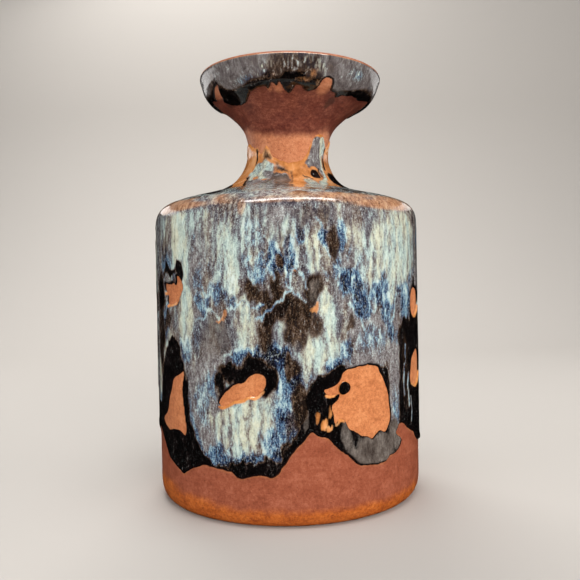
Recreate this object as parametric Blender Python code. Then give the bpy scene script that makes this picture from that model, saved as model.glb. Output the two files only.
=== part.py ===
"""A wheel-thrown ceramic bud vase: a straight cylinder body, a narrow waisted neck and a flared mouth.

The clay is five thrown sections luted together with slip. Over it lie the fired glaze coats, each one
a thin shell of its own: a liner inside, a dark base coat with bare windows, a rutile coat that ran down
over it, and the coats of the shoulder, neck and mouth. Outlines are in millimetres, with the foot's flat
face at z = 0 and the body's axis on Z. The neck and mouth lean a little, as on a vase thrown by hand.
"""

import math

import bmesh
import bpy
import numpy as np
from mathutils import Vector

MM = 0.001

# Clay
CLAY_RADIUS = 49.3
WALL_INSIDE_RADIUS = 44.6
FLOOR_HEIGHT = 7.5
SHOULDER_JOINT = 100.0
NECK_JOINT = 114.7
MOUTH_JOINT = 139.0
NECK_BORE_RADIUS = 12.2

# Coats and the gap that every piece keeps to its neighbour
GAP = 0.3
COAT = 0.5
RUTILE_COAT = 0.4
GLAZE_BREAK = 103.6

# How finely the round pieces are divided
TURNED_STEPS = 48
LINER_STEPS = 36
BODY_COAT_STEPS = 96

# The lean of everything above the shoulder's edge: a tilt, a step to the right and a drift with height
LEAN_ANGLE = math.radians(1.2)
LEAN_SHIFT = 0.4
LEAN_DRIFT = 0.025
LEAN_START = 102.0
LEAN_FULL = 120.0
LEAN_PIVOT = 108.0

# Profiles as (radius, height), each run from the bottom of its section to the top
FOOT_CORNER = [(45.4, 0.0), (46.9, 0.6), (48.1, 1.8), (48.9, 3.6), (49.2, 5.5)]
SHOULDER_OUTSIDE = [
    (49.2, 102.4), (48.6, 104.4), (47.4, 106.2), (45.4, 107.6), (42.0, 108.9),
    (37.0, 110.2), (31.0, 111.7), (26.4, 113.1),
]
SHOULDER_INSIDE = [(43.6, 102.0), (40.6, 103.9), (30.5, 106.6), (19.0, 109.4)]
NECK_OUTSIDE = [
    (22.3, NECK_JOINT + GAP), (20.2, 116.7), (18.0, 119.3), (16.3, 122.4), (15.3, 126.0),
    (15.3, 130.0), (16.0, 134.0), (17.2, 137.0), (18.5, MOUTH_JOINT),
]
NECK_INSIDE = [
    (NECK_BORE_RADIUS, NECK_JOINT + GAP), (11.5, 119.5), (11.1, 126.0), (11.5, 133.0), (13.1, MOUTH_JOINT),
]
MOUTH_OUTSIDE = [
    (18.8, MOUTH_JOINT + GAP), (21.5, 142.0), (24.2, 144.2), (27.2, 146.2), (30.1, 147.9),
    (32.2, 150.4), (33.5, 153.4), (34.4, 156.0),
]
LIP = [(34.3, 156.9), (33.6, 157.3), (32.9, 156.9)]
MOUTH_INSIDE = [
    (13.3, MOUTH_JOINT + GAP), (15.4, 141.8), (19.2, 144.6), (24.0, 147.6), (28.4, 150.3), (31.2, 153.2),
]

# The base coat's lower edge as (degrees, height). Zero degrees is the front, and positive is to the right.
LOWER_EDGE = [
    (-70, 27.0), (-66, 24.9), (-62, 21.4), (-58, 17.9), (-53, 16.0), (-47, 14.1), (-44, 16.0), (-41, 17.5),
    (-36, 18.9), (-30, 18.6), (-24, 17.9), (-20, 16.1), (-15, 16.8), (-10, 17.1), (-6.5, 16.6), (-3, 19.6),
    (0, 23.6), (5, 28.0), (8.3, 31.0), (12, 29.2), (15, 28.0), (19, 24.6), (22, 23.0), (26, 20.0),
    (30, 18.5), (36, 18.1), (40, 18.2), (43, 19.5), (47, 20.6), (50.5, 23.6), (51.5, 29.8), (55, 28.2),
    (60, 25.6), (66, 22.6), (71, 20.4), (82, 18.5), (92, 16.4), (101, 20.0), (111, 27.4), (119, 22.5),
    (132, 17.2), (145, 18.6), (157, 25.6), (167, 21.4), (180, 17.0), (192, 16.2), (203, 20.6), (213, 29.4),
    (222, 24.0), (236, 17.4), (250, 15.6), (262, 18.2), (275, 23.6), (284, 27.6),
]
# Where the rutile coat stopped running
RUTILE_EDGE = [
    (-70, 62), (-62, 86), (-52, 87), (-44, 60), (-38, 42), (-33, 25), (-27, 21.5), (-20, 21), (-13, 25),
    (-8, 22.5), (-4, 30), (0, 44), (6, 49), (11, 46), (16, 55), (24, 58), (32, 57), (40, 60), (46, 56),
    (52, 65), (60, 66), (66, 80), (74, 66), (84, 40), (92, 30), (102, 52), (116, 62), (128, 44), (140, 28),
    (150, 46), (163, 60), (176, 40), (188, 26), (198, 44), (210, 66), (224, 46), (238, 28), (250, 36),
    (262, 60), (276, 68),
]

# Bare windows in the body's coats, as closed outlines of (degrees, height)
WINDOW_HIGH_LEFT = [
    (-59.6, 78.8), (-55, 78.9), (-52, 79.4), (-50, 78.7), (-49.4, 81.6), (-47.8, 81.4), (-45.1, 78.2),
    (-47, 74.5), (-50, 72.9), (-53, 72.1), (-55.9, 71.8), (-56.8, 74.4), (-58.4, 76.1),
]
WINDOW_WEDGE = [
    (-46.0, 48.9), (-49.5, 48.2), (-53.5, 46.0), (-56.2, 42.3), (-58.6, 38.4), (-60.6, 34.2), (-65.5, 31.4),
    (-63, 28.8), (-58, 28.0), (-52.5, 29.1), (-48.8, 28.6), (-46.3, 27.6), (-45.1, 29.6), (-46.4, 38.0),
    (-47.2, 42.5),
]
WINDOW_SLANTED = [
    (-27.4, 40.3), (-25.4, 42.7), (-23, 44.7), (-20, 46.4), (-17, 47.2), (-14.7, 48.8), (-12.2, 49.7),
    (-10, 49.5), (-8.7, 48.2), (-9, 45.4), (-10.7, 43.5), (-13, 42.4), (-16, 42.6), (-20.5, 41.0),
    (-23.6, 39.6), (-26, 39.4),
]
WINDOW_LARGE = [
    (13.4, 44.2), (16.3, 45.2), (18.5, 46.4), (20.2, 47.8), (21.0, 49.7), (23, 50.7), (29.4, 51.3),
    (33.8, 51.0), (36.9, 50.2), (38.2, 47.8), (40.5, 44.8), (42.1, 41.0), (42.8, 36.5), (43.4, 33.0),
    (42.2, 30.2), (40.0, 28.6), (37.5, 29.5), (35.3, 28.6), (33.4, 27.0), (28.4, 28.4), (24.2, 30.5),
    (22.4, 32.0), (21.2, 34.2), (19.0, 34.8), (17.2, 33.4), (16.1, 38.2), (19.0, 41.1), (19.3, 42.4),
    (15.0, 42.4),
]
WINDOW_HIGH_RIGHT = [
    (61.5, 72.4), (62.6, 74.5), (66, 75.9), (73, 75.0), (77, 71.5), (72, 67.6), (64.6, 66.5),
]
WINDOW_LOW_RIGHT = [(60.2, 44.2), (61.8, 50.6), (65, 52.5), (71, 53.4), (77, 49.5), (75, 43.6), (66, 41.6)]
FRONT_WINDOWS = [
    WINDOW_HIGH_LEFT, WINDOW_WEDGE, WINDOW_SLANTED, WINDOW_LARGE, WINDOW_HIGH_RIGHT, WINDOW_LOW_RIGHT,
]
# The other sides' windows, as (degrees, height, half width, half height, phase) of a lobed blob
OTHER_WINDOWS = [
    (-79, 97.5, 4.2, 1.9, 0.4), (104, 44, 8.2, 7.4, 1.7), (127, 74, 5.2, 4.0, 3.1),
    (150, 39, 5.6, 6.4, 0.8), (183, 45, 9.4, 6.8, 2.5), (214, 79, 5.8, 3.6, 4.4),
    (231, 38, 6.6, 8.6, 5.3), (262, 47, 6.0, 5.2, 1.1),
]
BLOB_POINTS = 16

# A single drop of glaze on the bare clay of the large window
DROP_ANGLE = 21.2
DROP_HEIGHT = 44.6
DROP_RADIUS = 1.9
DROP_THICKNESS = 0.7

CLAY_COLOUR = (0.42, 0.13, 0.045)
CLAY_ROUGHNESS = 0.6
COATS = {
    "dark_glaze": ((0.025, 0.017, 0.016), 0.08),
    "rutile_glaze": ((0.42, 0.45, 0.40), 0.14),
    "shoulder_glaze": ((0.33, 0.36, 0.33), 0.16),
    "amber_glaze": ((0.40, 0.13, 0.02), 0.08),
    "liner_glaze": ((0.10, 0.05, 0.03), 0.12),
}


def clear_scene():
    for old in list(bpy.data.objects):
        bpy.data.objects.remove(old, do_unlink=True)


def principled(name, colour, roughness):
    made = bpy.data.materials.new(name)
    made.use_nodes = True
    shader = made.node_tree.nodes["Principled BSDF"]
    shader.inputs["Base Color"].default_value = (*colour, 1.0)
    shader.inputs["Roughness"].default_value = roughness
    shader.inputs["Metallic"].default_value = 0.0
    return made


def smoothstep(value, low, high):
    share = min(max((value - low) / (high - low), 0.0), 1.0)
    return share * share * (3.0 - 2.0 * share)


def leaned(point):
    """The point, in millimetres, turned and shifted a little about the shoulder's edge."""
    share = smoothstep(point.z, LEAN_START, LEAN_FULL)
    angle = LEAN_ANGLE * share
    above = point.z - LEAN_PIVOT
    across = point.x * math.cos(angle) + above * math.sin(angle)
    across += share * (LEAN_SHIFT + LEAN_DRIFT * above)
    return Vector((across, point.y, LEAN_PIVOT + above * math.cos(angle) - point.x * math.sin(angle)))


def add_object(name, shape, coat):
    """Turns a millimetre bmesh with its faces pointing out into a smooth-shaded object in metres."""
    if shape.calc_volume(signed=True) < 0:
        bmesh.ops.reverse_faces(shape, faces=shape.faces)
    for vert in shape.verts:
        vert.co *= MM
    mesh = bpy.data.meshes.new(name)
    shape.to_mesh(mesh)
    shape.free()
    mesh.shade_smooth()
    mesh.set_sharp_from_angle(angle=math.radians(35))
    if coat:
        mesh.materials.append(coat)
    made = bpy.data.objects.new(name, mesh)
    bpy.context.scene.collection.objects.link(made)
    return made


def lean_all(shape):
    for vert in shape.verts:
        vert.co = leaned(vert.co)


def spun(section, steps):
    """A closed (radius, height) section turned once about Z."""
    shape = bmesh.new()
    points = [shape.verts.new((radius, 0.0, height)) for radius, height in section]
    edges = [shape.edges.new((points[i - 1], points[i])) for i in range(len(points))]
    bmesh.ops.spin(
        shape, geom=points + edges, cent=(0, 0, 0), axis=(0, 0, 1), angle=math.tau, steps=steps,
        use_merge=True
    )
    bmesh.ops.remove_doubles(shape, verts=shape.verts, dist=0.0001)
    flat = [edge for edge in shape.edges if not edge.link_faces]
    bmesh.ops.delete(shape, geom=flat, context="EDGES")
    bmesh.ops.recalc_face_normals(shape, faces=shape.faces)
    return shape


def turned(name, section, coat, steps=TURNED_STEPS):
    shape = spun(section, steps)
    lean_all(shape)
    return add_object(name, shape, coat)


def offset_curve(curve, distance):
    """The curve moved to the left of its own direction, by distance."""
    points = np.array(curve, float)
    along = np.gradient(points, axis=0)
    along /= np.linalg.norm(along, axis=1)[:, None]
    left = np.stack([-along[:, 1], along[:, 0]], axis=1)
    return points + left * distance


def coat_section(curve, near, thickness):
    """A thin closed section that follows the curve: near is the side towards the clay."""
    inner = offset_curve(curve, near)
    outer = offset_curve(curve, near + math.copysign(thickness, near))
    return [tuple(p) for p in inner] + [tuple(p) for p in outer[::-1]]


def edge_height(edge, degrees):
    angles = [angle for angle, _ in edge]
    heights = [height for _, height in edge]
    return float(np.interp(degrees, angles, heights, period=360))


def degrees_of(point):
    """The angle round the vase: zero at the front (-Y), positive to the right (+X)."""
    return math.degrees(math.atan2(point.x, -point.y))


def blob(degrees, height, half_width, half_height, phase):
    """A lobed closed outline of (degrees, height)."""
    outline = []
    for i in range(BLOB_POINTS):
        turn = math.tau * i / BLOB_POINTS
        reach = 1.0 + 0.16 * math.sin(2 * turn + phase) + 0.12 * math.sin(3 * turn + 2.3 * phase)
        across = half_width * reach * math.cos(turn)
        upward = half_height * reach * math.sin(turn)
        outline.append((degrees + across, height + upward))
    return outline


def window_cutter(name, outline, inside, outside):
    """A closed block through the coat, with the window's outline, from one radius to another."""
    shape = bmesh.new()
    rings = []
    for radius in (inside, outside):
        ring = []
        for degrees, height in outline:
            turn = math.radians(degrees)
            ring.append(shape.verts.new((radius * math.sin(turn), -radius * math.cos(turn), height)))
        rings.append(ring)
    for i in range(len(outline)):
        shape.faces.new((rings[0][i - 1], rings[0][i], rings[1][i], rings[1][i - 1]))
    caps = [shape.faces.new(rings[0]), shape.faces.new(rings[1])]
    bmesh.ops.triangulate(shape, faces=caps)
    bmesh.ops.recalc_face_normals(shape, faces=shape.faces)
    cutter = add_object(name, shape, None)
    cutter.hide_render = True
    cutter.display_type = "WIRE"
    return cutter


def body_coat(name, inside, thickness, edge, coat):
    """A cylindrical shell down to an uneven lower edge, from under the shoulder's break."""
    outside = inside + thickness
    low = min(height for _, height in edge) - 1.0
    section = [(inside, low), (outside, low), (outside, GLAZE_BREAK - GAP), (inside, GLAZE_BREAK - GAP)]
    shape = spun(section, BODY_COAT_STEPS)
    for vert in shape.verts:
        if vert.co.z < low + 0.5:
            vert.co.z = edge_height(edge, degrees_of(vert.co))
    lean_all(shape)
    return add_object(name, shape, coat)


def cut_windows(coated, cutters):
    for cutter in cutters:
        cut = coated.modifiers.new(cutter.name, "BOOLEAN")
        cut.operation = "DIFFERENCE"
        cut.object = cutter


def make_clay():
    shades = {}
    for index, name in enumerate(("foot_disc", "body_wall", "shoulder", "neck", "mouth_bowl")):
        shade = [channel * (1.0 - 0.04 * index) for channel in CLAY_COLOUR]
        shades[name] = principled("clay_" + name, shade, CLAY_ROUGHNESS)

    foot = [(0.0, 0.0)] + FOOT_CORNER + [(CLAY_RADIUS, FLOOR_HEIGHT), (0.0, FLOOR_HEIGHT)]
    turned("foot_disc", foot, shades["foot_disc"])

    wall_low = FLOOR_HEIGHT + GAP
    wall = [
        (WALL_INSIDE_RADIUS, wall_low), (CLAY_RADIUS, wall_low),
        (CLAY_RADIUS, SHOULDER_JOINT), (WALL_INSIDE_RADIUS, SHOULDER_JOINT),
    ]
    turned("body_wall", wall, shades["body_wall"])

    shoulder_low = SHOULDER_JOINT + GAP
    shoulder = [(CLAY_RADIUS, shoulder_low)] + SHOULDER_OUTSIDE
    shoulder += [(22.9, NECK_JOINT), (NECK_BORE_RADIUS, NECK_JOINT), (NECK_BORE_RADIUS, 110.6)]
    shoulder += SHOULDER_INSIDE[::-1] + [(WALL_INSIDE_RADIUS, shoulder_low)]
    turned("shoulder", shoulder, shades["shoulder"])

    turned("neck", NECK_OUTSIDE + NECK_INSIDE[::-1], shades["neck"])
    turned("mouth_bowl", MOUTH_OUTSIDE + LIP + MOUTH_INSIDE[::-1], shades["mouth_bowl"])


def make_liner(coat):
    floor = FLOOR_HEIGHT
    inside = [(0.0, floor), (38.0, floor), (WALL_INSIDE_RADIUS, floor + 5.0)]
    inside += [(WALL_INSIDE_RADIUS, SHOULDER_JOINT)] + SHOULDER_INSIDE
    section = coat_section(inside, GAP, COAT)
    section[0] = (0.0, floor + GAP)
    section[-1] = (0.0, floor + GAP + COAT)
    turned("body_liner_glaze", section, coat, LINER_STEPS)

    bore = [(NECK_BORE_RADIUS, 111.0)] + NECK_INSIDE[1:-1] + MOUTH_INSIDE + [(32.5, 155.6)]
    turned("mouth_liner_glaze", coat_section(bore, GAP, COAT), coat, LINER_STEPS)


def make_upper_coats(coats):
    top_of_wall = [(CLAY_RADIUS - 0.05, GLAZE_BREAK)]
    shoulder = [point for point in SHOULDER_OUTSIDE if point[1] > GLAZE_BREAK] + [(24.0, 113.9)]
    turned("shoulder_glaze", coat_section(top_of_wall + shoulder, -GAP, COAT), coats["shoulder_glaze"])

    neck = [(22.6, NECK_JOINT + 0.2)] + NECK_OUTSIDE[1:]
    turned("neck_glaze", coat_section(neck, -GAP, COAT), coats["amber_glaze"])

    turned("mouth_glaze", coat_section(MOUTH_OUTSIDE[3:], -GAP, COAT), coats["dark_glaze"])


def make_body_coats(coats):
    outlines = FRONT_WINDOWS + [blob(*window) for window in OTHER_WINDOWS]
    cutters = []
    for index, outline in enumerate(outlines):
        cutter = window_cutter(f"window_cutter_{index + 1}", outline, CLAY_RADIUS - 3.0, CLAY_RADIUS + 4.0)
        cutters.append(cutter)

    base_inside = CLAY_RADIUS + GAP
    cut_windows(body_coat("body_glaze", base_inside, COAT, LOWER_EDGE, coats["dark_glaze"]), cutters)

    rutile_inside = base_inside + COAT + GAP
    rutile = body_coat("rutile_overglaze", rutile_inside, RUTILE_COAT, RUTILE_EDGE, coats["rutile_glaze"])
    cut_windows(rutile, cutters)


def make_drop(coat):
    """A low round bead that faces out from the wall."""
    turn = math.radians(DROP_ANGLE)
    out = Vector((math.sin(turn), -math.cos(turn), 0.0))
    shape = bmesh.new()
    bmesh.ops.create_uvsphere(shape, u_segments=16, v_segments=8, radius=1.0)
    for vert in shape.verts:
        vert.co.x *= DROP_RADIUS
        vert.co.y *= DROP_RADIUS
        vert.co.z *= 0.5 * DROP_THICKNESS
    facing = Vector((0.0, 0.0, 1.0)).rotation_difference(out).to_matrix()
    centre = out * (CLAY_RADIUS + GAP + DROP_THICKNESS * 0.5) + Vector((0.0, 0.0, DROP_HEIGHT))
    for vert in shape.verts:
        vert.co = facing @ vert.co + centre
    return add_object("glaze_drop", shape, coat)


def main():
    clear_scene()
    coats = {name: principled(name, colour, roughness) for name, (colour, roughness) in COATS.items()}
    make_clay()
    make_liner(coats["liner_glaze"])
    make_body_coats(coats)
    make_upper_coats(coats)
    make_drop(coats["dark_glaze"])


main()
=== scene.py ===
"""The looks of the ceramic bud vase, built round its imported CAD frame.

Everything outside the vase is one skin. A place on it is (degrees, up): degrees round the vase from the
front, positive to the right, and up, the distance in millimetres along the outside, which is the height
on the straight wall. Lengths are millimetres until a mesh is made.
"""

import math

import bmesh
import bpy
import numpy as np
from mathutils import Matrix, Vector


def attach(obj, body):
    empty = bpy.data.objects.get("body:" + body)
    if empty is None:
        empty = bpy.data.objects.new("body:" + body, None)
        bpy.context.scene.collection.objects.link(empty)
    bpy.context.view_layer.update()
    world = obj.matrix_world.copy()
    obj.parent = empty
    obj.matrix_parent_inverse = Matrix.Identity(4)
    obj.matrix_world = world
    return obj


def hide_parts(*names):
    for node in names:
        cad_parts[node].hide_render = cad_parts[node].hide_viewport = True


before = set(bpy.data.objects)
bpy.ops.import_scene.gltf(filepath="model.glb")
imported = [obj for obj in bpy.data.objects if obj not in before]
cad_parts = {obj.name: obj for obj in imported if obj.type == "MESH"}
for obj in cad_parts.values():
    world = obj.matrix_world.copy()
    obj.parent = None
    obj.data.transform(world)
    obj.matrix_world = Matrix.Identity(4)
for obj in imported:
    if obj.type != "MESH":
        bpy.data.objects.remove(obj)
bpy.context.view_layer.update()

MM = 0.001

# ---------------------------------------------------------------- shape

# The clay's outside as (radius, height), from the middle of the foot to the inside of the lip
OUTSIDE = [
    (0, 0), (30, 0), (43.6, 0), (45.4, 0.05), (46.9, 0.6), (48.1, 1.8), (48.9, 3.6), (49.2, 5.5),
    (49.3, 7.5), (49.3, 12), (49.3, 50), (49.3, 94), (49.3, 99), (49.2, 102.4), (48.6, 104.4),
    (47.4, 106.2), (45.4, 107.6), (42, 108.9), (37, 110.2), (31, 111.7), (26.4, 113.1), (22.7, 114.9),
    (20.2, 116.7), (18, 119.3), (16.3, 122.4), (15.3, 126), (15.3, 130), (16, 134), (17.2, 137),
    (18.7, 139.2), (21.5, 142), (24.2, 144.2), (27.2, 146.2), (30.1, 147.9), (32.2, 150.4), (33.5, 153.4),
    (34.4, 156), (34.3, 156.9), (33.6, 157.3), (32.9, 156.9),
]
WALL_RADIUS = 49.3
WALL_START = (49.3, 7.5)
# The neck and mouth lean to the photo's right: turned about the pivot's height and moved across, by
# nothing at the start and by all of it from the full height up
LEAN_ANGLE = math.radians(1.2)
LEAN_SHIFT = 0.4
LEAN_DRIFT = 0.025
LEAN_START = 102.0
LEAN_FULL = 120.0
LEAN_PIVOT = 108.0

# Where one piece ends and the next begins, as distances up the outside
FOOT_TOP = 7.5
SHOULDER_START = 100.2
GLAZE_BREAK = 103.6
NECK_FOOT = 133.0
NECK_TOP = 160.4

COLUMNS = 640
COLUMN_DEGREES = 360.0 / COLUMNS
ROW_STEP = 0.5
COAT = 0.55


def between(t, start, end, a, b):
    """What a straight change from a at start to b at end has reached at t."""
    return (end - t) / (end - start) * a + (t - start) / (end - start) * b


def smooth_curve(points, per_span=24, closed=False):
    """A centripetal Catmull-Rom curve through the points."""
    points = np.array(points, float)
    if closed:
        points = np.vstack([points[-1:], points, points[:2]])
    else:
        points = np.vstack([2 * points[0] - points[1], points, 2 * points[-1] - points[-2]])
    spans = []
    for i in range(1, len(points) - 2):
        p0, p1, p2, p3 = points[i - 1:i + 3]
        steps = [math.sqrt(max(np.linalg.norm(b - a), 1e-6)) for a, b in ((p0, p1), (p1, p2), (p2, p3))]
        t0, t1, t2, t3 = np.cumsum([0.0] + steps)
        t = np.linspace(t1, t2, per_span, endpoint=False)[:, None]
        a1 = between(t, t0, t1, p0, p1)
        a2 = between(t, t1, t2, p1, p2)
        a3 = between(t, t2, t3, p2, p3)
        spans.append(between(t, t1, t2, between(t, t0, t2, a1, a2), between(t, t1, t3, a2, a3)))
    if not closed:
        spans.append(points[-2:-1])
    return np.vstack(spans)


def smoothstep(low, high, value):
    share = np.clip((value - low) / (high - low), 0.0, 1.0)
    return share * share * (3.0 - 2.0 * share)


PROFILE = smooth_curve(OUTSIDE)
PROFILE_UP = np.r_[0.0, np.cumsum(np.linalg.norm(np.diff(PROFILE, axis=0), axis=1))]
WALL_INDEX = int(np.argmin(np.linalg.norm(PROFILE - np.array(WALL_START), axis=1)))
PROFILE_UP += WALL_START[1] - PROFILE_UP[WALL_INDEX]
BOTTOM_UP = PROFILE_UP[0]
TOP_UP = PROFILE_UP[-1]


def profile_at(up):
    return np.interp(up, PROFILE_UP, PROFILE[:, 0]), np.interp(up, PROFILE_UP, PROFILE[:, 1])


def lean(x, y, z):
    """The points with the neck and mouth leaning."""
    share = smoothstep(LEAN_START, LEAN_FULL, z)
    angle = LEAN_ANGLE * share
    above = z - LEAN_PIVOT
    across = x * np.cos(angle) + above * np.sin(angle) + share * (LEAN_SHIFT + LEAN_DRIFT * above)
    return np.stack([across, y + 0 * x, LEAN_PIVOT + above * np.cos(angle) - x * np.sin(angle)], axis=-1)


def skin(degrees, up, lift):
    """The point that lies lift above the clay, at a place on the outside."""
    radius, height = profile_at(up)
    ahead = profile_at(up + 0.15)
    behind = profile_at(up - 0.15)
    along = np.stack([ahead[0] - behind[0], ahead[1] - behind[1]], axis=-1)
    along /= np.maximum(np.linalg.norm(along, axis=-1, keepdims=True), 1e-9)
    radius = radius + lift * along[..., 1]
    height = height - lift * along[..., 0]
    turn = np.radians(degrees)
    return lean(radius * np.sin(turn), -radius * np.cos(turn), height)


# ---------------------------------------------------------------- noise fields on the skin

def field(degrees, up, around, tall, seed):
    """Smooth noise from 0 to 1, periodic round the vase: around cells a turn, each cell tall mm high."""
    rng = np.random.default_rng(seed)
    rows = int(math.ceil((TOP_UP - BOTTOM_UP) / tall)) + 4
    lattice = rng.random((rows, around))
    x = (degrees % 360.0) / 360.0 * around
    y = (up - BOTTOM_UP) / tall + 1.0
    x0 = np.floor(x).astype(int)
    y0 = np.clip(np.floor(y).astype(int), 0, rows - 2)
    fx = x - x0
    fy = np.clip(y - y0, 0.0, 1.0)
    fx = fx * fx * (3 - 2 * fx)
    fy = fy * fy * (3 - 2 * fy)
    left, right = x0 % around, (x0 + 1) % around
    low = lattice[y0, left] * (1 - fx) + lattice[y0, right] * fx
    high = lattice[y0 + 1, left] * (1 - fx) + lattice[y0 + 1, right] * fx
    return low * (1 - fy) + high * fy


def layered(degrees, up, around, tall, seed, layers=3):
    """Several sizes of the field added up, from 0 to 1."""
    total, weight, share = 0.0, 0.0, 1.0
    for layer in range(layers):
        finer = 2 ** layer
        total = total + share * field(degrees, up, around * finer, tall / finer, seed + 17 * layer)
        weight += share
        share *= 0.5
    return total / weight


def uneven(*place_and_grain):
    """The layered field from -0.5 to 0.5."""
    return layered(*place_and_grain) - 0.5


def clay_relief(degrees, up):
    """Throwing rings and the slight unevenness of a hand-thrown wall."""
    wander = 0.8 * np.sin(np.radians(degrees))
    rings = 0.012 * np.sin(up * 1.1 + wander + 2.0 * field(degrees, up, 5, 30, 3))
    swell = 0.22 * uneven(degrees, up, 5, 40, 11, 2)
    fine = 0.03 * uneven(degrees, up, 90, 3.0, 29, 2)
    foot = smoothstep(BOTTOM_UP + 42, 6.0, up)
    return (rings + swell + fine) * foot


# ---------------------------------------------------------------- outlines of the glaze

# The body glaze's lower edge as (degrees, up), all the way round
LOWER_EDGE = [
    (-70, 27.0), (-66, 24.9), (-62, 21.4), (-58, 17.9), (-53, 16.0), (-50, 14.9), (-47, 14.1),
    (-44.6, 15.6), (-42, 17.1), (-38.5, 18.0), (-36, 18.9), (-30, 18.6), (-24, 17.9), (-22.3, 17.7),
    (-20.3, 16.2), (-18.3, 16.0), (-15, 16.8), (-10, 17.1), (-6.5, 16.6), (-4.4, 17.8), (-3, 19.6),
    (-1.4, 21.5), (0, 23.6), (3, 26.2), (5, 28.0), (7, 30.0), (8.3, 31.0), (10, 30.2), (12, 29.2),
    (14.5, 28.5), (17, 26.3), (19.4, 24.4), (22, 23.0), (25, 20.6), (28, 18.9), (32, 18.4), (36, 18.1),
    (40, 18.2), (42.5, 19.4), (46, 20.3), (49, 21.8), (50.9, 24.0), (49.4, 25.8), (46.8, 27.0),
    (48.0, 28.4), (50.0, 29.5), (52.2, 29.9), (54.4, 28.6), (57, 26.9), (60, 25.6), (63, 24.8),
    (66.3, 22.4), (71, 20.4), (82, 18.5), (92, 16.4), (97, 17.2), (101, 20.0), (105, 24.6), (111, 27.4),
    (115, 25.6), (119, 22.5), (125, 18.8), (132, 17.2), (139, 17.0), (145, 18.6), (151, 23.4), (157, 25.6),
    (162, 23.8), (167, 21.4), (173, 18.4), (180, 17.0), (186, 15.6), (192, 16.2), (197, 17.4), (203, 20.6),
    (208, 27.6), (213, 29.4), (217, 27.8), (222, 24.0), (229, 18.9), (236, 17.4), (243, 17.2), (250, 15.6),
    (256, 16.2), (262, 18.2), (268, 19.4), (275, 23.6), (284, 27.6),
]
WINDOWS = {
    "high_left": [
        (-59.6, 78.8), (-57, 79.1), (-55, 78.9), (-52, 79.4), (-50, 78.7), (-49.3, 80.2), (-49.5, 81.7),
        (-47.8, 81.4), (-46, 79.6), (-45.0, 78.1), (-45.9, 76.2), (-47.2, 74.4), (-50, 72.9), (-53, 72.1),
        (-55.9, 71.8), (-57.0, 73.2), (-56.8, 74.6), (-58.4, 76.1),
    ],
    "wedge": [
        (-46.0, 48.9), (-49.3, 48.2), (-53.5, 46.2), (-56.2, 42.3), (-58.6, 38.4), (-60.6, 34.2),
        (-64.5, 32.1), (-66.0, 30.6), (-63.4, 28.8), (-58, 27.9), (-52.5, 29.0), (-48.8, 28.5),
        (-46.3, 27.5), (-45.0, 29.4), (-45.6, 33.8), (-46.6, 38.2), (-47.3, 43.0),
    ],
    "slanted": [
        (-27.4, 40.3), (-25.6, 42.6), (-23.3, 44.6), (-20, 46.4), (-16.9, 47.2), (-14.7, 48.8),
        (-12.2, 49.7), (-10, 49.5), (-8.7, 48.4), (-8.9, 45.5), (-10.6, 43.6), (-12.6, 42.4),
        (-15, 42.7), (-18.1, 41.5), (-20.9, 40.9), (-23.4, 39.7), (-25.8, 39.3),
    ],
    "large": [
        (13.3, 44.2), (16.3, 45.2), (18.5, 46.4), (20.1, 47.8), (20.9, 49.6), (22.8, 50.6), (26.3, 50.8),
        (29.4, 51.3), (33.8, 51.0), (36.9, 50.2), (37.9, 48.3), (40, 45.3), (41.6, 42.5), (42.5, 39.8),
        (42.8, 36.5), (43.5, 33.3), (42.5, 30.6), (40.0, 28.5), (37.5, 29.5), (35.3, 28.6), (33.4, 27.0),
        (31.3, 27.7), (28.4, 28.4), (26.3, 29.6), (24, 30.5), (22.5, 31.9), (21.3, 34.0), (19.0, 34.9),
        (17.3, 33.2), (16.6, 36.0), (16.0, 38.2), (17.2, 39.8), (19.0, 41.1), (19.4, 42.3), (16.9, 42.6),
        (14.8, 42.6),
    ],
    "high_right": [
        (61.5, 72.2), (62.4, 74.4), (64.7, 75.6), (69, 76.2), (74, 75.0), (77.4, 71.6), (75, 68.6),
        (70, 66.9), (65.3, 66.2), (62.8, 67.7),
    ],
    "low_right": [
        (60.0, 44.0), (60.9, 47.5), (61.9, 50.7), (65, 52.4), (69, 53.5), (74, 52.6), (77.6, 48.9),
        (76, 44.6), (71, 42.0), (65.6, 41.4), (62.2, 42.3),
    ],
}
# The windows on the sides away from the front: (degrees, up, half width in degrees, half height, phase)
OTHER_WINDOWS = [
    (-79, 97.5, 4.2, 1.9, 0.4), (104, 44, 8.2, 7.4, 1.7), (127, 74, 5.2, 4.0, 3.1),
    (150, 39, 5.6, 6.4, 0.8), (183, 45, 9.4, 6.8, 2.5), (214, 79, 5.8, 3.6, 4.4), (231, 38, 6.6, 8.6, 5.3),
    (262, 47, 6.0, 5.2, 1.1),
]
BLOB_POINTS = 16
# The mouth band's lower edge and the bare slot in it
MOUTH_EDGE = [
    (-85, 174.4), (-75, 173.6), (-68, 171.6), (-63, 169.8), (-57, 168.0), (-50, 167.5), (-44, 167.5),
    (-38, 168.6), (-33, 170.8), (-28, 172.2), (-22, 173.5), (-17, 173.7), (-15, 172.4), (-12.6, 174.6),
    (-10.8, 175.2), (-9, 173.2), (-6.6, 175.4), (-5, 172.8), (-3, 171.0), (0, 170.2), (2.5, 171.4),
    (4, 173.4), (8, 173.2), (10.5, 171.9), (14, 171.1), (17, 171.8), (19.6, 173.2), (22, 177.2),
    (28, 177.3), (30.6, 172.8), (36, 172.4), (40, 170.3), (43, 171.2), (48, 172.0), (54, 172.9),
    (62, 172.8), (68, 172.4), (75, 174.2), (85, 175.2), (97, 172.6), (110, 169.4), (121, 171.5),
    (135, 175.0), (150, 172.0), (160, 168.6), (172, 170.5), (186, 174.6), (200, 172.4), (212, 168.2),
    (226, 171.0), (240, 175.2), (254, 172.6), (264, 171.4),
]
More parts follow.
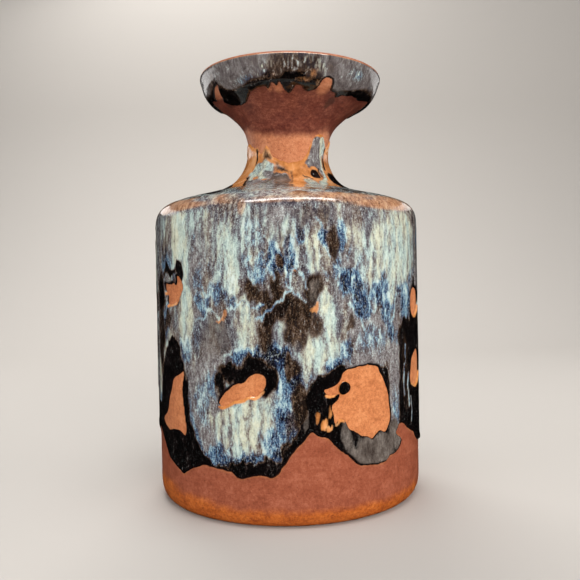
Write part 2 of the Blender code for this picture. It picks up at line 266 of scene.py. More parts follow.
MOUTH_SLOT = [
    (-54.2, 178.6), (-57, 178.0), (-62, 176.6), (-68, 174.8), (-74, 172.6), (-68, 170.6), (-62, 172.4),
    (-57, 175.4),
]
# Thin glaze that showed orange on the mouth band
MOUTH_RUST = [
    (15.4, 178.8, 2.4, 2.8, 0.42), (11.5, 176.4, 4.6, 1.8, 0.36), (18.5, 175.6, 2.0, 1.8, 0.40),
    (6, 179, 3, 1.6, 0.30),
]


def blob(degrees, up, half_width, half_height, phase):
    """A lobed closed outline."""
    outline = []
    for i in range(BLOB_POINTS):
        turn = math.tau * i / BLOB_POINTS
        reach = 1.0 + 0.16 * math.sin(2 * turn + phase) + 0.12 * math.sin(3 * turn + 2.3 * phase)
        across = half_width * reach * math.cos(turn)
        outline.append((degrees + across, up + half_height * reach * math.sin(turn)))
    return outline


def within(values, line, reach):
    """Where the values lie inside the line's range or up to reach outside it."""
    return (values > line.min() - reach) & (values < line.max() + reach)


def to_segment(px, py, start, end):
    """Distances from the places (px, py) to the straight line between two points."""
    (ax, ay), (bx, by) = start, end
    ex, ey = bx - ax, by - ay
    share = np.clip(((px - ax) * ex + (py - ay) * ey) / max(ex * ex + ey * ey, 1e-12), 0.0, 1.0)
    return np.hypot(px - ax - share * ex, py - ay - share * ey)


def signed_distance(degrees, up, outline, radius, smooth=4):
    """Millimetres from a closed outline, positive outside it. The radius turns degrees into millimetres."""
    curve = smooth_curve(outline, smooth, closed=True)
    middle = 0.5 * (curve[:, 0].min() + curve[:, 0].max())
    around = (degrees - middle + 180.0) % 360.0 - 180.0
    scale = math.radians(1.0) * radius
    px, py = around * scale, up
    cx, cy = (curve[:, 0] - middle) * scale, curve[:, 1]
    reach = 6.0
    near = within(px, cx, reach) & within(py, cy, reach)
    best = np.full(px.shape, reach)
    if not near.any():
        return best
    qx, qy = px[near], py[near]
    distance = np.full(qx.shape, 1e9)
    inside = np.zeros(qx.shape, bool)
    for i in range(len(cx)):
        ax, ay, bx, by = cx[i - 1], cy[i - 1], cx[i], cy[i]
        distance = np.minimum(distance, to_segment(qx, qy, (ax, ay), (bx, by)))
        crosses = (ay > qy) != (by > qy)
        with np.errstate(divide="ignore", invalid="ignore"):
            inside ^= crosses & (qx < ax + (qy - ay) / (by - ay) * (bx - ax))
    best[near] = np.where(inside, -distance, distance)
    return best


def band_distance(degrees, up, edge, radius):
    """Millimetres above an edge that runs right round, negative below it."""
    copies = [(d - 360, u) for d, u in edge[-6:]] + list(edge) + [(d + 360, u) for d, u in edge[:6]]
    curve = smooth_curve(copies, 3)
    scale = math.radians(1.0) * radius
    start = edge[0][0]
    around = (degrees - start) % 360.0 + start
    px, py = around * scale, up
    cx, cy = curve[:, 0] * scale, curve[:, 1]
    reach = 8.0
    near = within(py, cy, reach)
    result = np.where(py > cy.max(), reach, -reach).astype(float)
    qx, qy = px[near], py[near]
    distance = np.full(qx.shape, 1e9)
    above = np.zeros(qx.shape, int)
    for i in range(1, len(cx)):
        ax, ay, bx, by = cx[i - 1], cy[i - 1], cx[i], cy[i]
        close = np.abs(qx - 0.5 * (ax + bx)) < reach + abs(bx - ax)
        if close.any():
            sx, sy = qx[close], qy[close]
            distance[close] = np.minimum(distance[close], to_segment(sx, sy, (ax, ay), (bx, by)))
            crosses = (ax > sx) != (bx > sx)
            with np.errstate(divide="ignore", invalid="ignore"):
                under = crosses & (sy > ay + (sx - ax) / (bx - ax) * (by - ay))
            above[close] += under
    result[near] = np.where(above % 2 == 1, 1.0, -1.0) * np.minimum(distance, reach)
    return result


# ---------------------------------------------------------------- where each colour lies

# Cream rutile runs: (degrees, top, bottom, half width in degrees, strength)
CREAM_RUNS = [
    (-63, 104, 92, 1.5, 0.5), (-59.5, 104, 88, 1.2, 0.55), (-56, 104, 84, 1.3, 0.5),
    (-50.5, 104, 82, 1.8, 0.85), (-47, 104, 84, 2.2, 0.9), (-43.5, 104, 68, 2.4, 0.95),
    (-42, 80, 56, 2.2, 0.95), (-39.5, 104, 86, 1.2, 0.6), (-45, 72, 60, 2.0, 0.7), (-54, 62, 54, 2.2, 0.8),
    (-58, 58, 48, 2.2, 0.8), (-61.5, 54, 44, 2.0, 0.8), (-37.8, 104, 97, 1.2, 0.8),
    (-31, 104, 84, 1.2, 0.62), (-28.5, 100, 82, 1.0, 0.55), (-26.5, 92, 80, 1.2, 0.8),
    (-24, 98, 76, 1.4, 0.85), (-21.3, 96, 73.5, 1.9, 1.0), (-18.7, 92, 73.5, 1.6, 1.0),
    (-15.8, 104, 88, 1.0, 0.75), (-13.2, 104, 84, 1.0, 0.7), (-10.5, 101, 80, 0.9, 0.65),
    (-7.5, 104, 86, 0.8, 0.6), (-5.5, 100, 84, 0.8, 0.5), (-2.5, 97, 90, 0.9, 0.65),
    (0.2, 100, 82, 1.2, 0.85), (2.5, 98, 84, 1.0, 0.8), (5.5, 104, 97, 0.9, 0.6), (8.8, 95, 82, 1.5, 0.9),
    (11.8, 94, 83, 1.2, 0.95), (14.5, 91, 83, 1.2, 0.8), (18.2, 84, 74, 0.8, 0.5),
    (20.8, 104, 94, 1.2, 0.8), (23.2, 99, 88, 0.9, 0.65), (26, 100, 84, 1.0, 0.6),
    (28.5, 96, 78, 1.2, 0.65), (31, 95, 78, 1.2, 0.75), (33.5, 94, 77, 1.5, 0.9), (36.5, 98, 77, 1.8, 0.95),
    (39.8, 99, 82, 1.8, 0.95), (43, 98, 72, 1.5, 0.9), (46, 102, 72, 2.0, 0.95), (49.5, 103, 76, 2.0, 0.95),
    (53, 103, 78, 2.0, 0.95), (56.5, 103, 78, 2.2, 0.95), (60, 100, 80, 2.2, 0.85), (64, 96, 84, 2.0, 0.6),
    (-16.5, 73.5, 57, 2.8, 1.0), (-13.8, 68, 56, 1.5, 0.85), (-9, 74, 66, 0.8, 0.6),
    (-2.2, 69, 57, 1.3, 0.85), (13.8, 76, 60, 1.7, 0.9), (16.8, 74, 58, 1.5, 0.75), (8, 63, 50, 2.4, 0.95),
    (11.5, 62, 47, 2.4, 1.0), (15.5, 62, 52, 2.4, 0.95), (5.2, 60, 48, 1.2, 0.7), (22, 68, 54, 0.9, 0.65),
    (33, 64, 56, 1.2, 0.45), (37, 63, 55, 1.5, 0.5), (-27.5, 38, 25, 1.2, 0.85), (-24.5, 39, 24, 1.3, 0.9),
    (-20.5, 40, 23, 2.1, 1.0), (-16.5, 41, 24, 2.1, 1.0), (-12.5, 41, 25, 2.1, 1.0),
    (-8.5, 44, 23, 1.9, 0.95), (-5.5, 45, 27, 1.0, 0.6), (-1.5, 48, 38, 1.2, 0.7),
    (-38.5, 52, 42, 1.3, 0.8), (-33, 50, 34, 1.0, 0.5), (-35.5, 46, 28, 1.0, 0.45),
    (-30.5, 40, 26, 0.9, 0.65), (-44, 44, 32, 0.8, 0.6), (1.5, 56, 48, 1.0, 0.6), (-0.5, 36, 28, 0.8, 0.5),
    (3, 42, 34, 0.8, 0.45), (54, 56, 42, 1.0, 0.5), (61, 42, 33, 1.6, 0.55), (-44.2, 80, 61, 2.0, 0.85),
    (-33, 79, 71, 1.5, 0.75), (-29.5, 78, 70, 1.3, 0.7), (-3.2, 50, 37, 1.2, 0.85),
    (0.4, 46, 36, 0.9, 0.85), (-51.5, 104, 90, 1.6, 0.6), (55, 80, 64, 1.8, 0.8),
    (-48.5, 104, 84, 2.4, 1.0), (-44.5, 86, 56, 2.0, 1.0), (-34.2, 104, 86, 1.3, 0.5),
]
# Soft patches: (degrees, up, half width in degrees, half height, strength)
BLUE_PATCHES = [
    (-58, 86, 5, 5, 0.9), (-60, 66, 6, 6, 0.8), (-34, 73, 5, 3.5, 0.65), (-28, 76, 4, 3.5, 0.6),
    (-36, 80, 3, 4, 0.5), (-21, 79, 2.4, 6, 0.5), (-7.5, 71, 3, 4, 1.2), (-4, 86, 3, 6, 1.4),
    (1, 88, 2, 6, 1.2), (5.5, 94, 2.4, 4, 0.7), (-10, 84, 3, 5, 0.7), (15, 93, 3, 3.4, 1.3),
    (21, 94, 2, 5, 0.9), (25, 78, 5, 5, 1.0), (29, 71, 5, 5, 0.9), (38, 76, 6, 4.5, 0.85),
    (41.5, 70, 3, 6, 0.9), (44, 62, 3, 4, 0.8), (55.5, 72, 4.5, 8.5, 0.95), (55, 52, 4, 12, 0.9),
    (52, 40, 3, 6, 0.4), (-42.5, 34, 1.4, 9, 0.6), (-35, 40, 4, 8, 0.5), (-30, 47, 4, 4, 0.6),
    (-29, 24, 4, 3, 0.8), (-27, 20.5, 6, 2.0, 1.0), (-15, 21.5, 8, 2.6, 1.2), (-15, 56, 7, 2.5, 1.2),
    (-8, 57, 6, 3.5, 1.4), (-3, 51, 5, 7, 1.6), (1, 46, 4, 7, 1.4), (-2, 36, 4, 8, 1.0), (3, 31, 3, 5, 0.7),
    (17, 52, 3.5, 4, 1.2), (22, 57, 3, 4, 0.7), (12, 46, 3, 2, 0.8), (-6, 27, 4, 4, 1.1),
    (19, 84, 2.4, 4, 0.6), (-44, 58, 4, 2.5, 0.7), (-37, 62, 3, 6, 0.35), (30, 86, 4, 6, 0.4),
    (48, 60, 2, 4, 0.5), (34, 60, 8, 5, 0.5), (-12, 95, 4, 6, 0.45),
]
# Black from 0.8 up, and a brown, speckled dark below that
DARK_PATCHES = [
    (-13, 77, 3.4, 4.6, 0.70), (-9, 74, 2.8, 4, 0.70), (-4.5, 78, 2.4, 4, 0.76), (-3, 86, 1.6, 4, 0.66),
    (9.8, 78, 4.6, 5.6, 0.74), (4, 70, 7, 7.5, 0.72), (-3, 72, 5, 5, 0.80), (-8, 64, 3.6, 7, 0.70),
    (-7, 69, 3.4, 4.4, 0.80), (3, 63, 5.5, 5, 0.68), (10, 66, 3.5, 5, 0.62), (17.5, 92, 3.2, 6, 0.66),
    (1, 92, 3, 6, 0.5), (6, 100, 5, 5, 0.45), (13.5, 101, 4, 3, 0.5), (-12, 100, 5, 5, 0.40),
    (24, 65, 2.4, 2.4, 0.6), (-18, 84, 2, 4, 0.4), (-20, 50.6, 7.5, 4.0, 0.9), (-12, 53.5, 6, 3.5, 1.0),
    (-7.6, 48, 3.4, 6, 1.0), (-26, 46.5, 2.6, 3.4, 0.9), (-15, 51, 4, 3, 1.0), (1.5, 52, 3.5, 4, 0.7),
    (-53, 55, 5, 5, 1.0), (-49, 50, 5, 3, 1.0), (-43.6, 42, 1.4, 8, 1.0), (-43.5, 29, 3, 8, 1.0),
    (-49, 21, 14, 6.5, 1.0), (-38, 20, 5, 3.4, 1.0), (-64, 76, 4, 8, 1.0), (-64, 60, 4, 14, 0.8),
    (-55, 82.6, 6, 1.8, 1.0), (-47, 83.0, 2.6, 3.0, 1.0), (-58, 91, 4, 6, 0.5), (-57, 66, 4, 4, 0.6),
    (-14, 19, 12, 2.4, 1.0), (-6, 21, 3.4, 3, 1.0), (-1, 26, 2.5, 3.5, 0.8), (4.6, 38, 4.2, 10, 0.74),
    (0, 34, 2, 5, 0.5), (11, 39, 6, 7.5, 1.0), (17, 34, 2.4, 3, 0.9), (10.5, 45, 3, 3, 0.9),
    (20.5, 29, 3, 6, 0.7), (55, 42, 5.4, 17, 0.80), (51.5, 60, 3, 6, 0.78), (58, 58, 4, 4, 0.75),
    (63, 60, 4, 18, 0.8), (62, 36, 6, 6, 0.9),
]
# Smooth grey glaze with no rutile in it
CLEAR_PATCHES = [
    (-28, 61.5, 8, 8, 0.62), (33, 23, 13, 6.0, 1.1), (45.5, 27, 4, 5, 1.0), (21.5, 29, 3, 5, 0.7),
    (-32, 57, 5, 6, 0.5), (10.5, 77.5, 3.6, 4.4, 0.55), (6, 32.5, 1.6, 3.5, 0.6),
]
# A lilac veil: partly the glaze's own milky film of fine crystals, partly a painted reflection of the pale
# room
VEIL_AND_REFLECTION_PATCHES = [
    (-44.5, 84, 4.4, 24, 0.45), (-50.5, 96, 4, 10, 0.45), (-37, 84, 5, 20, 0.7), (-42.5, 58, 3.4, 8, 0.9),
    (-37.5, 40, 5.0, 14, 1.1), (-33, 27, 4.4, 7, 1.0), (-31, 52, 5, 8, 0.8), (-31, 92, 4, 10, 0.6),
    (45.7, 46, 3.0, 20, 1.3), (54.5, 47, 3.4, 17, 0.21), (32, 53.6, 12, 2.6, 1.2), (30, 66, 8, 9, 1.0),
    (36, 61, 6, 6, 1.0), (26, 86, 5, 12, 0.6), (22, 100, 5, 6, 0.7), (0, 99, 11, 6, 0.75),
    (41, 92, 4, 8, 0.6), (47, 62, 3, 8, 0.9), (-8, 95, 5, 8, 0.4), (20, 76, 3, 6, 0.6),
    (-29, 39, 3, 4, 0.8), (-13, 89, 3, 5, 0.4),
]
AMBER_PATCHES = [
    (-25.8, 66.4, 3.0, 1.0, 0.62), (-23.6, 68.0, 1.2, 1.6, 0.60), (10.2, 71.8, 2.4, 1.7, 0.66),
    (12.5, 33.0, 1.8, 2.2, 0.8), (10.0, 36.5, 1.2, 1.8, 0.7), (14.6, 31.2, 1.5, 1.4, 0.75),
    (15.5, 36.0, 1.2, 1.8, 0.65), (3, 81, 1.4, 0.7, 0.6),
]
# Thin pale strings of rutile as lines of (degrees, up)
STRINGS = [
    [(-11.7, 66.6), (-7.9, 70.4), (-4.6, 73.4), (0.3, 75.4), (3.4, 76.6), (6.2, 74.4)],
    [(0.6, 76.6), (1.6, 80.7), (3.2, 82.8), (5.8, 80.9), (7.0, 78.4)],
    [(-36.0, 66.0), (-33.4, 68.4), (-31.2, 69.8), (-27.6, 69.4), (-25.2, 66.8)],
    [(23.2, 70.6), (25.2, 68.2), (28.6, 66.6), (29.9, 62.6), (32.0, 61.5)],
    [(-21.4, 69.6), (-18.6, 71.6), (-15.2, 72.2), (-11.7, 70.9), (-9.0, 71.6)],
    [(38.2, 79.0), (39.6, 74.6), (40.6, 69.4), (42.2, 66.2)], [(34.4, 77.0), (35.6, 72.8), (35.0, 69.0)],
    [(26.0, 81.0), (24.4, 77.2), (25.6, 73.4), (28.4, 71.2)], [(-47.0, 58.8), (-44.4, 57.0), (-42.2, 55.2)],
    [(-24.4, 56.6), (-21.0, 58.0), (-17.4, 57.2)],
    [(11.8, 100.0), (14.0, 95.8), (13.4, 91.0), (16.0, 87.0)],
    [(-6.4, 92.0), (-4.8, 87.6), (-6.0, 83.0), (-4.6, 79.0)], [(2.6, 93.0), (1.4, 88.0), (3.2, 84.4)],
    [(18.0, 86.0), (20.6, 82.4), (20.0, 78.2)], [(-13.4, 88.6), (-14.6, 83.8), (-12.6, 80.4)],
    [(-33.6, 79.6), (-31.4, 75.4), (-28.6, 74.2)], [(47.6, 73.4), (46.0, 68.6), (43.6, 65.0)],
    [(54.6, 58.0), (54.2, 53.0), (54.8, 49.0)], [(53.0, 49.0), (52.8, 44.0), (53.4, 38.0)],
    [(57.4, 46.0), (57.0, 41.0), (57.8, 36.0)], [(59.4, 38.0), (60.0, 33.0), (59.6, 28.6)],
]
# The drips on the sides away from the front, drawn at random inside these limits
HIDDEN_SIDE = (68.0, 294.0)
HIDDEN_RUNS = 124
HIDDEN_PATCHES = 26
HIDDEN_STRINGS = 30
RUTILE_EDGE = [
    (-70, 36), (-62, 52), (-54, 60), (-47, 56), (-44.2, 49), (-42.3, 40), (-41, 33), (-38, 27), (-34, 22.6),
    (-28, 19.8), (-20, 19.6), (-13, 21.5), (-8, 20.5), (-4, 23), (0, 27), (3, 31), (6, 36), (8, 44),
    (11, 45), (14, 50), (18, 52), (24, 51), (32, 51), (40, 50), (44, 42), (46, 28), (48, 27), (49.2, 40),
    (49.5, 56), (52, 65), (60, 66), (66, 80), (74, 66), (84, 40), (92, 30), (102, 52), (116, 62), (128, 44),
    (140, 28), (150, 46), (163, 60), (176, 40), (188, 26), (198, 44), (210, 66), (224, 46), (238, 28),
    (250, 36), (262, 60), (276, 50),
]


def angle_from(degrees, middle):
    """Degrees from the middle, the short way round."""
    return (degrees - middle + 180.0) % 360.0 - 180.0


def lay_runs(degrees, up, runs):
    """Vertical drips that wander a little, fade in at the top and end round at the bottom."""
    total = np.zeros(degrees.shape)
    for index, (middle, top, bottom, half_width, strength) in enumerate(runs):
        wander = 0.9 * np.sin(up / 7.0 + 1.7 * index) + 0.5 * np.sin(up / 2.9 + 0.6 * index)
        across = angle_from(degrees, middle) - wander * min(half_width, 1.2) * 0.5
        narrowing = 1.0 - 0.35 * smoothstep(bottom + 12, bottom, up)
        shape = np.exp(-np.abs(across / (1.15 * half_width * narrowing)) ** 2.2)
        shape *= smoothstep(bottom - 1.2, bottom + 2.2, up) * (1 - smoothstep(top - 3.0, top + 5.0, up))
        total = np.maximum(total, strength * shape)
    return total


def lay_patches(degrees, up, patches, core=0.55):
    """Ellipses that keep their strength as far as core, as a share of their reach, and then fade."""
    total = np.zeros(degrees.shape)
    for middle, height, half_width, half_height, strength in patches:
        distance = np.hypot(angle_from(degrees, middle) / half_width, (up - height) / half_height)
        total = np.maximum(total, strength * (1 - smoothstep(core, 1.9 - core, distance)))
    return total


def lay_strokes(degrees, up, strokes, radius=WALL_RADIUS):
    """Lines of (degrees, up), each with a half width in mm and a strength, soft at their sides."""
    scale = math.radians(1.0) * radius
    total = np.zeros(degrees.shape)
    for half_width, strength, stroke in strokes:
        line = smooth_curve(stroke, 6)
        middle = line[:, 0].mean()
        px = angle_from(degrees, middle) * scale
        reach = 2.0 * half_width
        side = reach + scale * (line[:, 0].max() - line[:, 0].min())
        near = (np.abs(px) < side) & within(up, line[:, 1], reach)
        qx, qy = px[near], up[near]
        best = np.full(qx.shape, 99.0)
        ends = np.column_stack([(line[:, 0] - middle) * scale, line[:, 1]])
        for start, end in zip(ends[:-1], ends[1:]):
            best = np.minimum(best, to_segment(qx, qy, start, end))
        total[near] = np.maximum(total[near], strength * np.exp(-(best / half_width) ** 2))
    return total


def thin_strokes(strings):
    """The pale strings as strokes of one half width and strength."""
    return [(0.46, 0.9, string) for string in strings]


def hidden_strings(rng):
    low, high = HIDDEN_SIDE
    strings = []
    for _ in range(HIDDEN_STRINGS):
        place = np.array([rng.uniform(low, high), rng.uniform(48.0, 94.0)])
        string = [tuple(place)]
        for _ in range(rng.integers(2, 5)):
            place = place + np.array([rng.uniform(-3.4, 3.4), -rng.uniform(1.5, 4.4)])
            string.append(tuple(place))
        strings.append(string)
    return strings


def hidden_runs(rng):
    low, high = HIDDEN_SIDE
    runs = []
    for _ in range(HIDDEN_RUNS):
        middle = rng.uniform(low, high)
        top = rng.choice([104.0, 100.0, 84.0, 70.0, 52.0])
        length = rng.uniform(9.0, 26.0)
        runs.append((middle, top, max(top - length, 24.0), rng.uniform(0.8, 2.6), rng.uniform(0.55, 1.0)))
    return runs


def hidden_patches(rng, lowest, highest, width, height):
    low, high = HIDDEN_SIDE
    patches = []
    for _ in range(HIDDEN_PATCHES):
        patches.append((
            rng.uniform(low, high), rng.uniform(lowest, highest), width * rng.uniform(0.5, 1.5),
            height * rng.uniform(0.5, 1.5), rng.uniform(0.6, 1.0),
        ))
    return patches


def blurred(values, rows, columns):
    """A box blur that wraps round the columns."""
    wide = sum(np.roll(values, shift, axis=1) for shift in range(-columns, columns + 1)) / (2 * columns + 1)
    padded = np.pad(wide, ((rows, rows), (0, 0)), mode="edge")
    count = values.shape[0]
    return sum(padded[shift:shift + count] for shift in range(2 * rows + 1)) / (2 * rows + 1)


def shifted_down(values, rows):
    """The values moved down the vase. Row 0 is the lowest."""
    moved = np.roll(values, -rows, axis=0)
    moved[-rows:] = values[-1]
    return moved


# ---------------------------------------------------------------- the grid of the whole skin

def make_grid(low, high, step):
    ups = np.linspace(low, high, int(round((high - low) / step)) + 1)
    degrees = np.arange(COLUMNS) * COLUMN_DEGREES - 180.0
    return np.meshgrid(degrees, ups)


def snapped(degrees, up, distance, radius, step):
    """Moves the places beside an outline onto it, so that its edge is smooth."""
    across = math.radians(COLUMN_DEGREES) * radius
    slope_x = (np.roll(distance, -1, axis=1) - np.roll(distance, 1, axis=1)) / (2 * across)
    slope_y = np.gradient(distance, step, axis=0)
    steep = np.maximum(np.hypot(slope_x, slope_y), 0.5)
    near = np.abs(distance) < 0.62 * step
    moved_x = np.where(near, -distance * slope_x / steep ** 2, 0.0)
    moved_y = np.where(near, -distance * slope_y / steep ** 2, 0.0)
    limit = 0.48 * step
    moved_x = np.clip(moved_x, -limit, limit)
    moved_y = np.clip(moved_y, -limit, limit)
    degrees = degrees + np.degrees(moved_x / radius)
    return degrees, up + moved_y


def rounded_edge(distance, width):
    """From 0 at the edge of a coat to 1 inside it, with a round shoulder."""
    share = np.clip(distance / width, 0.0, 1.0)
    return np.sqrt(np.clip(1.0 - (1.0 - share) ** 2, 0.0, 1.0))


def coat_lift(distance, thickness, width, start=0.03, sunk=-0.12):
    """How far a coat stands out from the clay: down to it at the coat's edge, and below it outside."""
    lift = np.where(distance > start, thickness * rounded_edge(distance, width), -0.02)
    return np.where(distance < -0.2, sunk, lift)


def normals_of(points):
    """Smooth normals of a grid that wraps round its columns, pointing away from the vase."""
    around = np.roll(points, -1, axis=1) - np.roll(points, 1, axis=1)
    along = np.gradient(points, axis=0)
    normal = np.cross(around, along)
    return normal / np.maximum(np.linalg.norm(normal, axis=-1, keepdims=True), 1e-12)


def add_piece(name, points, keep, layers, looks, normals=None):
    """A mesh of the kept cells of a wrapped grid, with a float layer for each mask."""
    rows, columns = points.shape[:2]
    index = np.arange(rows * columns).reshape(rows, columns)
    right = np.roll(index, -1, axis=1)
    quads = np.stack([index[:-1], right[:-1], right[1:], index[1:]], axis=-1)[keep]
    used, corners = np.unique(quads, return_inverse=True)
    corners = corners.reshape(-1)
    mesh = bpy.data.meshes.new(name)
    mesh.vertices.add(len(used))
    mesh.vertices.foreach_set("co", (points.reshape(-1, 3)[used] * MM).astype(np.float32).ravel())
    mesh.loops.add(len(corners))
    mesh.loops.foreach_set("vertex_index", corners.astype(np.int32))
    mesh.polygons.add(len(quads))
    mesh.polygons.foreach_set("loop_start", np.arange(0, len(corners), 4, dtype=np.int32))
    mesh.update(calc_edges=True)
    mesh.validate()
    mesh.shade_smooth()
    for layer, values in layers.items():
        values = np.asarray(values, np.float32)
        if values.ndim == 3:
            stored = mesh.attributes.new(layer, "FLOAT_VECTOR", "POINT")
            stored.data.foreach_set("vector", values.reshape(-1, 3)[used].ravel())
        else:
            stored = mesh.attributes.new(layer, "FLOAT", "POINT")
            stored.data.foreach_set("value", values.reshape(-1)[used])
    if normals is not None:
        mesh.normals_split_custom_set_from_vertices(normals.reshape(-1, 3)[used].astype(np.float32))
    mesh.materials.append(looks)
    made = bpy.data.objects.new(name, mesh)
    bpy.context.scene.collection.objects.link(made)
    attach(made, "root")
    return made


def flow_layer(degrees, up, radius=None):
    """Coordinates in millimetres for the materials, which run up the outside whatever its slope."""
    if radius is None:
        radius = profile_at(up)[0]
    turn = np.radians(degrees)
    return np.stack([radius * np.sin(turn), -radius * np.cos(turn), up], axis=-1)


# ---------------------------------------------------------------- materials

class Look:
    """A material's node tree, with short ways to add the nodes that this script uses."""

    def __init__(self, name):
        self.material = bpy.data.materials.new(name)
        self.material.use_nodes = True
        self.tree = self.material.node_tree
        self.shader = self.tree.nodes["Principled BSDF"]

    def node(self, kind, inputs, output, **settings):
        """Adds a node, gives its inputs values or other nodes' outputs, and returns the output named."""
        made = self.tree.nodes.new(kind)
        for key, value in settings.items():
            setattr(made, key, value)
        for key, value in inputs.items():
            self.put(made.inputs[key], value)
        return made.outputs[output]

    def put(self, socket, value):
        if hasattr(value, "links"):
            self.tree.links.new(value, socket)
        else:
            socket.default_value = value

    def layer(self, name, output="Fac"):
        return self.node("ShaderNodeAttribute", {}, output, attribute_name=name)

    def shows(self, name, others, *limits):
        """Where a layer of the mesh shows, broken up by the other values."""
        return self.step(self.sum((self.layer(name), 1.0), *others), *limits)

    def flow(self, stretch):
        """The skin's coordinates, with heights multiplied by stretch."""
        inputs = {0: self.layer("flow", "Vector"), 1: (1.0, 1.0, stretch)}
        return self.node("ShaderNodeVectorMath", inputs, "Vector", operation="MULTIPLY")

    def noise(self, vector, scale, detail, roughness, distortion=0.0):
        inputs = {"Vector": vector, "Scale": scale, "Detail": detail, "Roughness": roughness}
        inputs["Distortion"] = distortion
        return self.node("ShaderNodeTexNoise", inputs, "Fac", noise_dimensions="3D")

    def cells(self, vector, scale):
        inputs = {"Vector": vector, "Scale": scale}
        return self.node("ShaderNodeTexVoronoi", inputs, "Distance", feature="F1")

    def times(self, a, b):
        return self.node("ShaderNodeMath", {0: a, 1: b}, 0, operation="MULTIPLY")

    def sum(self, *terms):
        """Adds value * weight pairs."""
        total = self.times(*terms[0])
        for value, weight in terms[1:]:
            inputs = {0: value, 1: weight, 2: total}
            total = self.node("ShaderNodeMath", inputs, 0, operation="MULTIPLY_ADD")
        return total

    def step(self, value, low, high, to_low=0.0, to_high=1.0):
        inputs = {"Value": value, "From Min": low, "From Max": high, "To Min": to_low, "To Max": to_high}
        return self.node("ShaderNodeMapRange", inputs, "Result", interpolation_type="SMOOTHSTEP")

    def ramp(self, value, *stops):
        colours = self.node("ShaderNodeValToRGB", {"Fac": value}, "Color")
        elements = colours.node.color_ramp.elements
        while len(elements) < len(stops):
            elements.new(0.5)
        for element, (place, colour) in zip(elements, stops):
            element.position = place
            element.color = (*colour, 1.0)
        return colours

    def mix(self, share, a, b):
        a, b = [colour if hasattr(colour, "links") else (*colour, 1.0) for colour in (a, b)]
        return self.node("ShaderNodeMix", {"Factor": share, 6: a, 7: b}, 2, data_type="RGBA")

    def bump(self, height, strength, distance):
        inputs = {"Strength": strength, "Distance": distance, "Height": height}
        self.put(self.shader.inputs["Normal"], self.node("ShaderNodeBump", inputs, "Normal"))

    def finish(self, colour, roughness, specular):
        self.put(self.shader.inputs["Base Color"], colour)
        self.put(self.shader.inputs["Roughness"], roughness)
        self.shader.inputs["Specular IOR Level"].default_value = specular
        return self.material


# Ramps of the glaze's colour over how thickly the rutile lies
MILKY_STOPS = (
    (0.06, (0.036, 0.022, 0.018)), (0.22, (0.098, 0.066, 0.056)), (0.38, (0.200, 0.158, 0.138)),
    (0.53, (0.365, 0.352, 0.285)), (0.70, (0.560, 0.580, 0.440)), (0.95, (0.740, 0.755, 0.590)),
)
MINT_STOPS = (
    (0.06, (0.030, 0.024, 0.032)), (0.22, (0.078, 0.066, 0.080)), (0.38, (0.160, 0.155, 0.170)),
    (0.53, (0.285, 0.350, 0.350)), (0.70, (0.455, 0.580, 0.530)), (0.95, (0.640, 0.755, 0.680)),
)
BLUE_STOPS = (
    (0.06, (0.006, 0.006, 0.011)), (0.21, (0.017, 0.026, 0.062)), (0.35, (0.056, 0.108, 0.205)),
    (0.50, (0.175, 0.305, 0.400)), (0.64, (0.400, 0.550, 0.570)), (0.95, (0.690, 0.780, 0.720)),
)
BROWN_STOPS = (
    (0.00, (0.014, 0.008, 0.005)), (0.16, (0.036, 0.020, 0.012)), (0.32, (0.090, 0.056, 0.038)),
    (0.48, (0.195, 0.160, 0.140)), (0.70, (0.460, 0.530, 0.530)),
)
DARK_STOPS = (
    (0.04, (0.0024, 0.0018, 0.0018)), (0.20, (0.009, 0.006, 0.006)), (0.34, (0.030, 0.022, 0.020)),
    (0.50, (0.150, 0.160, 0.160)), (0.80, (0.560, 0.620, 0.580)),
)
VEIL_STOPS = (
    (0.39, (0.062, 0.046, 0.048)), (0.485, (0.158, 0.134, 0.136)), (0.56, (0.300, 0.285, 0.280)),
    (0.66, (0.600, 0.640, 0.615)),
)
CLEAR_STOPS = ((0.38, (0.044, 0.032, 0.027)), (0.50, (0.124, 0.102, 0.088)), (0.62, (0.250, 0.220, 0.195)))
MOUTH_VEIL_STOPS = (
    (0.36, (0.050, 0.038, 0.038)), (0.49, (0.135, 0.115, 0.113)), (0.60, (0.230, 0.212, 0.208)),
    (0.74, (0.500, 0.515, 0.510)),
)
AMBER_STOPS = ((0.30, (0.34, 0.105, 0.022)), (0.50, (0.72, 0.290, 0.090)), (0.70, (0.88, 0.50, 0.25)))
RUST_STOPS = ((0.32, (0.24, 0.085, 0.035)), (0.50, (0.52, 0.245, 0.115)), (0.68, (0.68, 0.44, 0.25)))
SPARK_COLOUR = (0.50, 0.56, 0.58)
GOLDEN_SPARK = (0.30, 0.20, 0.125)
THREAD_COLOUR = (0.62, 0.70, 0.68)
RIM_COLOUR = (0.008, 0.005, 0.005)
BRIGHT_STOPS = ((0.32, (0.45, 0.138, 0.044)), (0.52, (0.64, 0.222, 0.078)), (0.72, (0.77, 0.32, 0.13)))
# The foot band's own red-brown, made pinker to stand for a painted sheen
BAND_AND_SHEEN_STOPS = ((0.32, (0.25, 0.058, 0.026)), (0.52, (0.35, 0.092, 0.044)), (0.72, (0.46, 0.145, 0.078)))
NECK_STOPS = ((0.32, (0.48, 0.150, 0.065)), (0.52, (0.64, 0.240, 0.110)), (0.72, (0.74, 0.33, 0.17)))
MOUTH_STOPS = ((0.34, (0.11, 0.022, 0.014)), (0.52, (0.200, 0.052, 0.031)), (0.68, (0.32, 0.105, 0.062)))
# The foot's round: its own orange, darkened as painted shade where the round turns under
SHADED_WARM_STOPS = ((0.32, (0.28, 0.052, 0.007)), (0.52, (0.52, 0.122, 0.018)), (0.72, (0.66, 0.190, 0.034)))
IRON_COLOUR = (0.045, 0.018, 0.012)
SCORCH_COLOUR = (0.070, 0.022, 0.012)


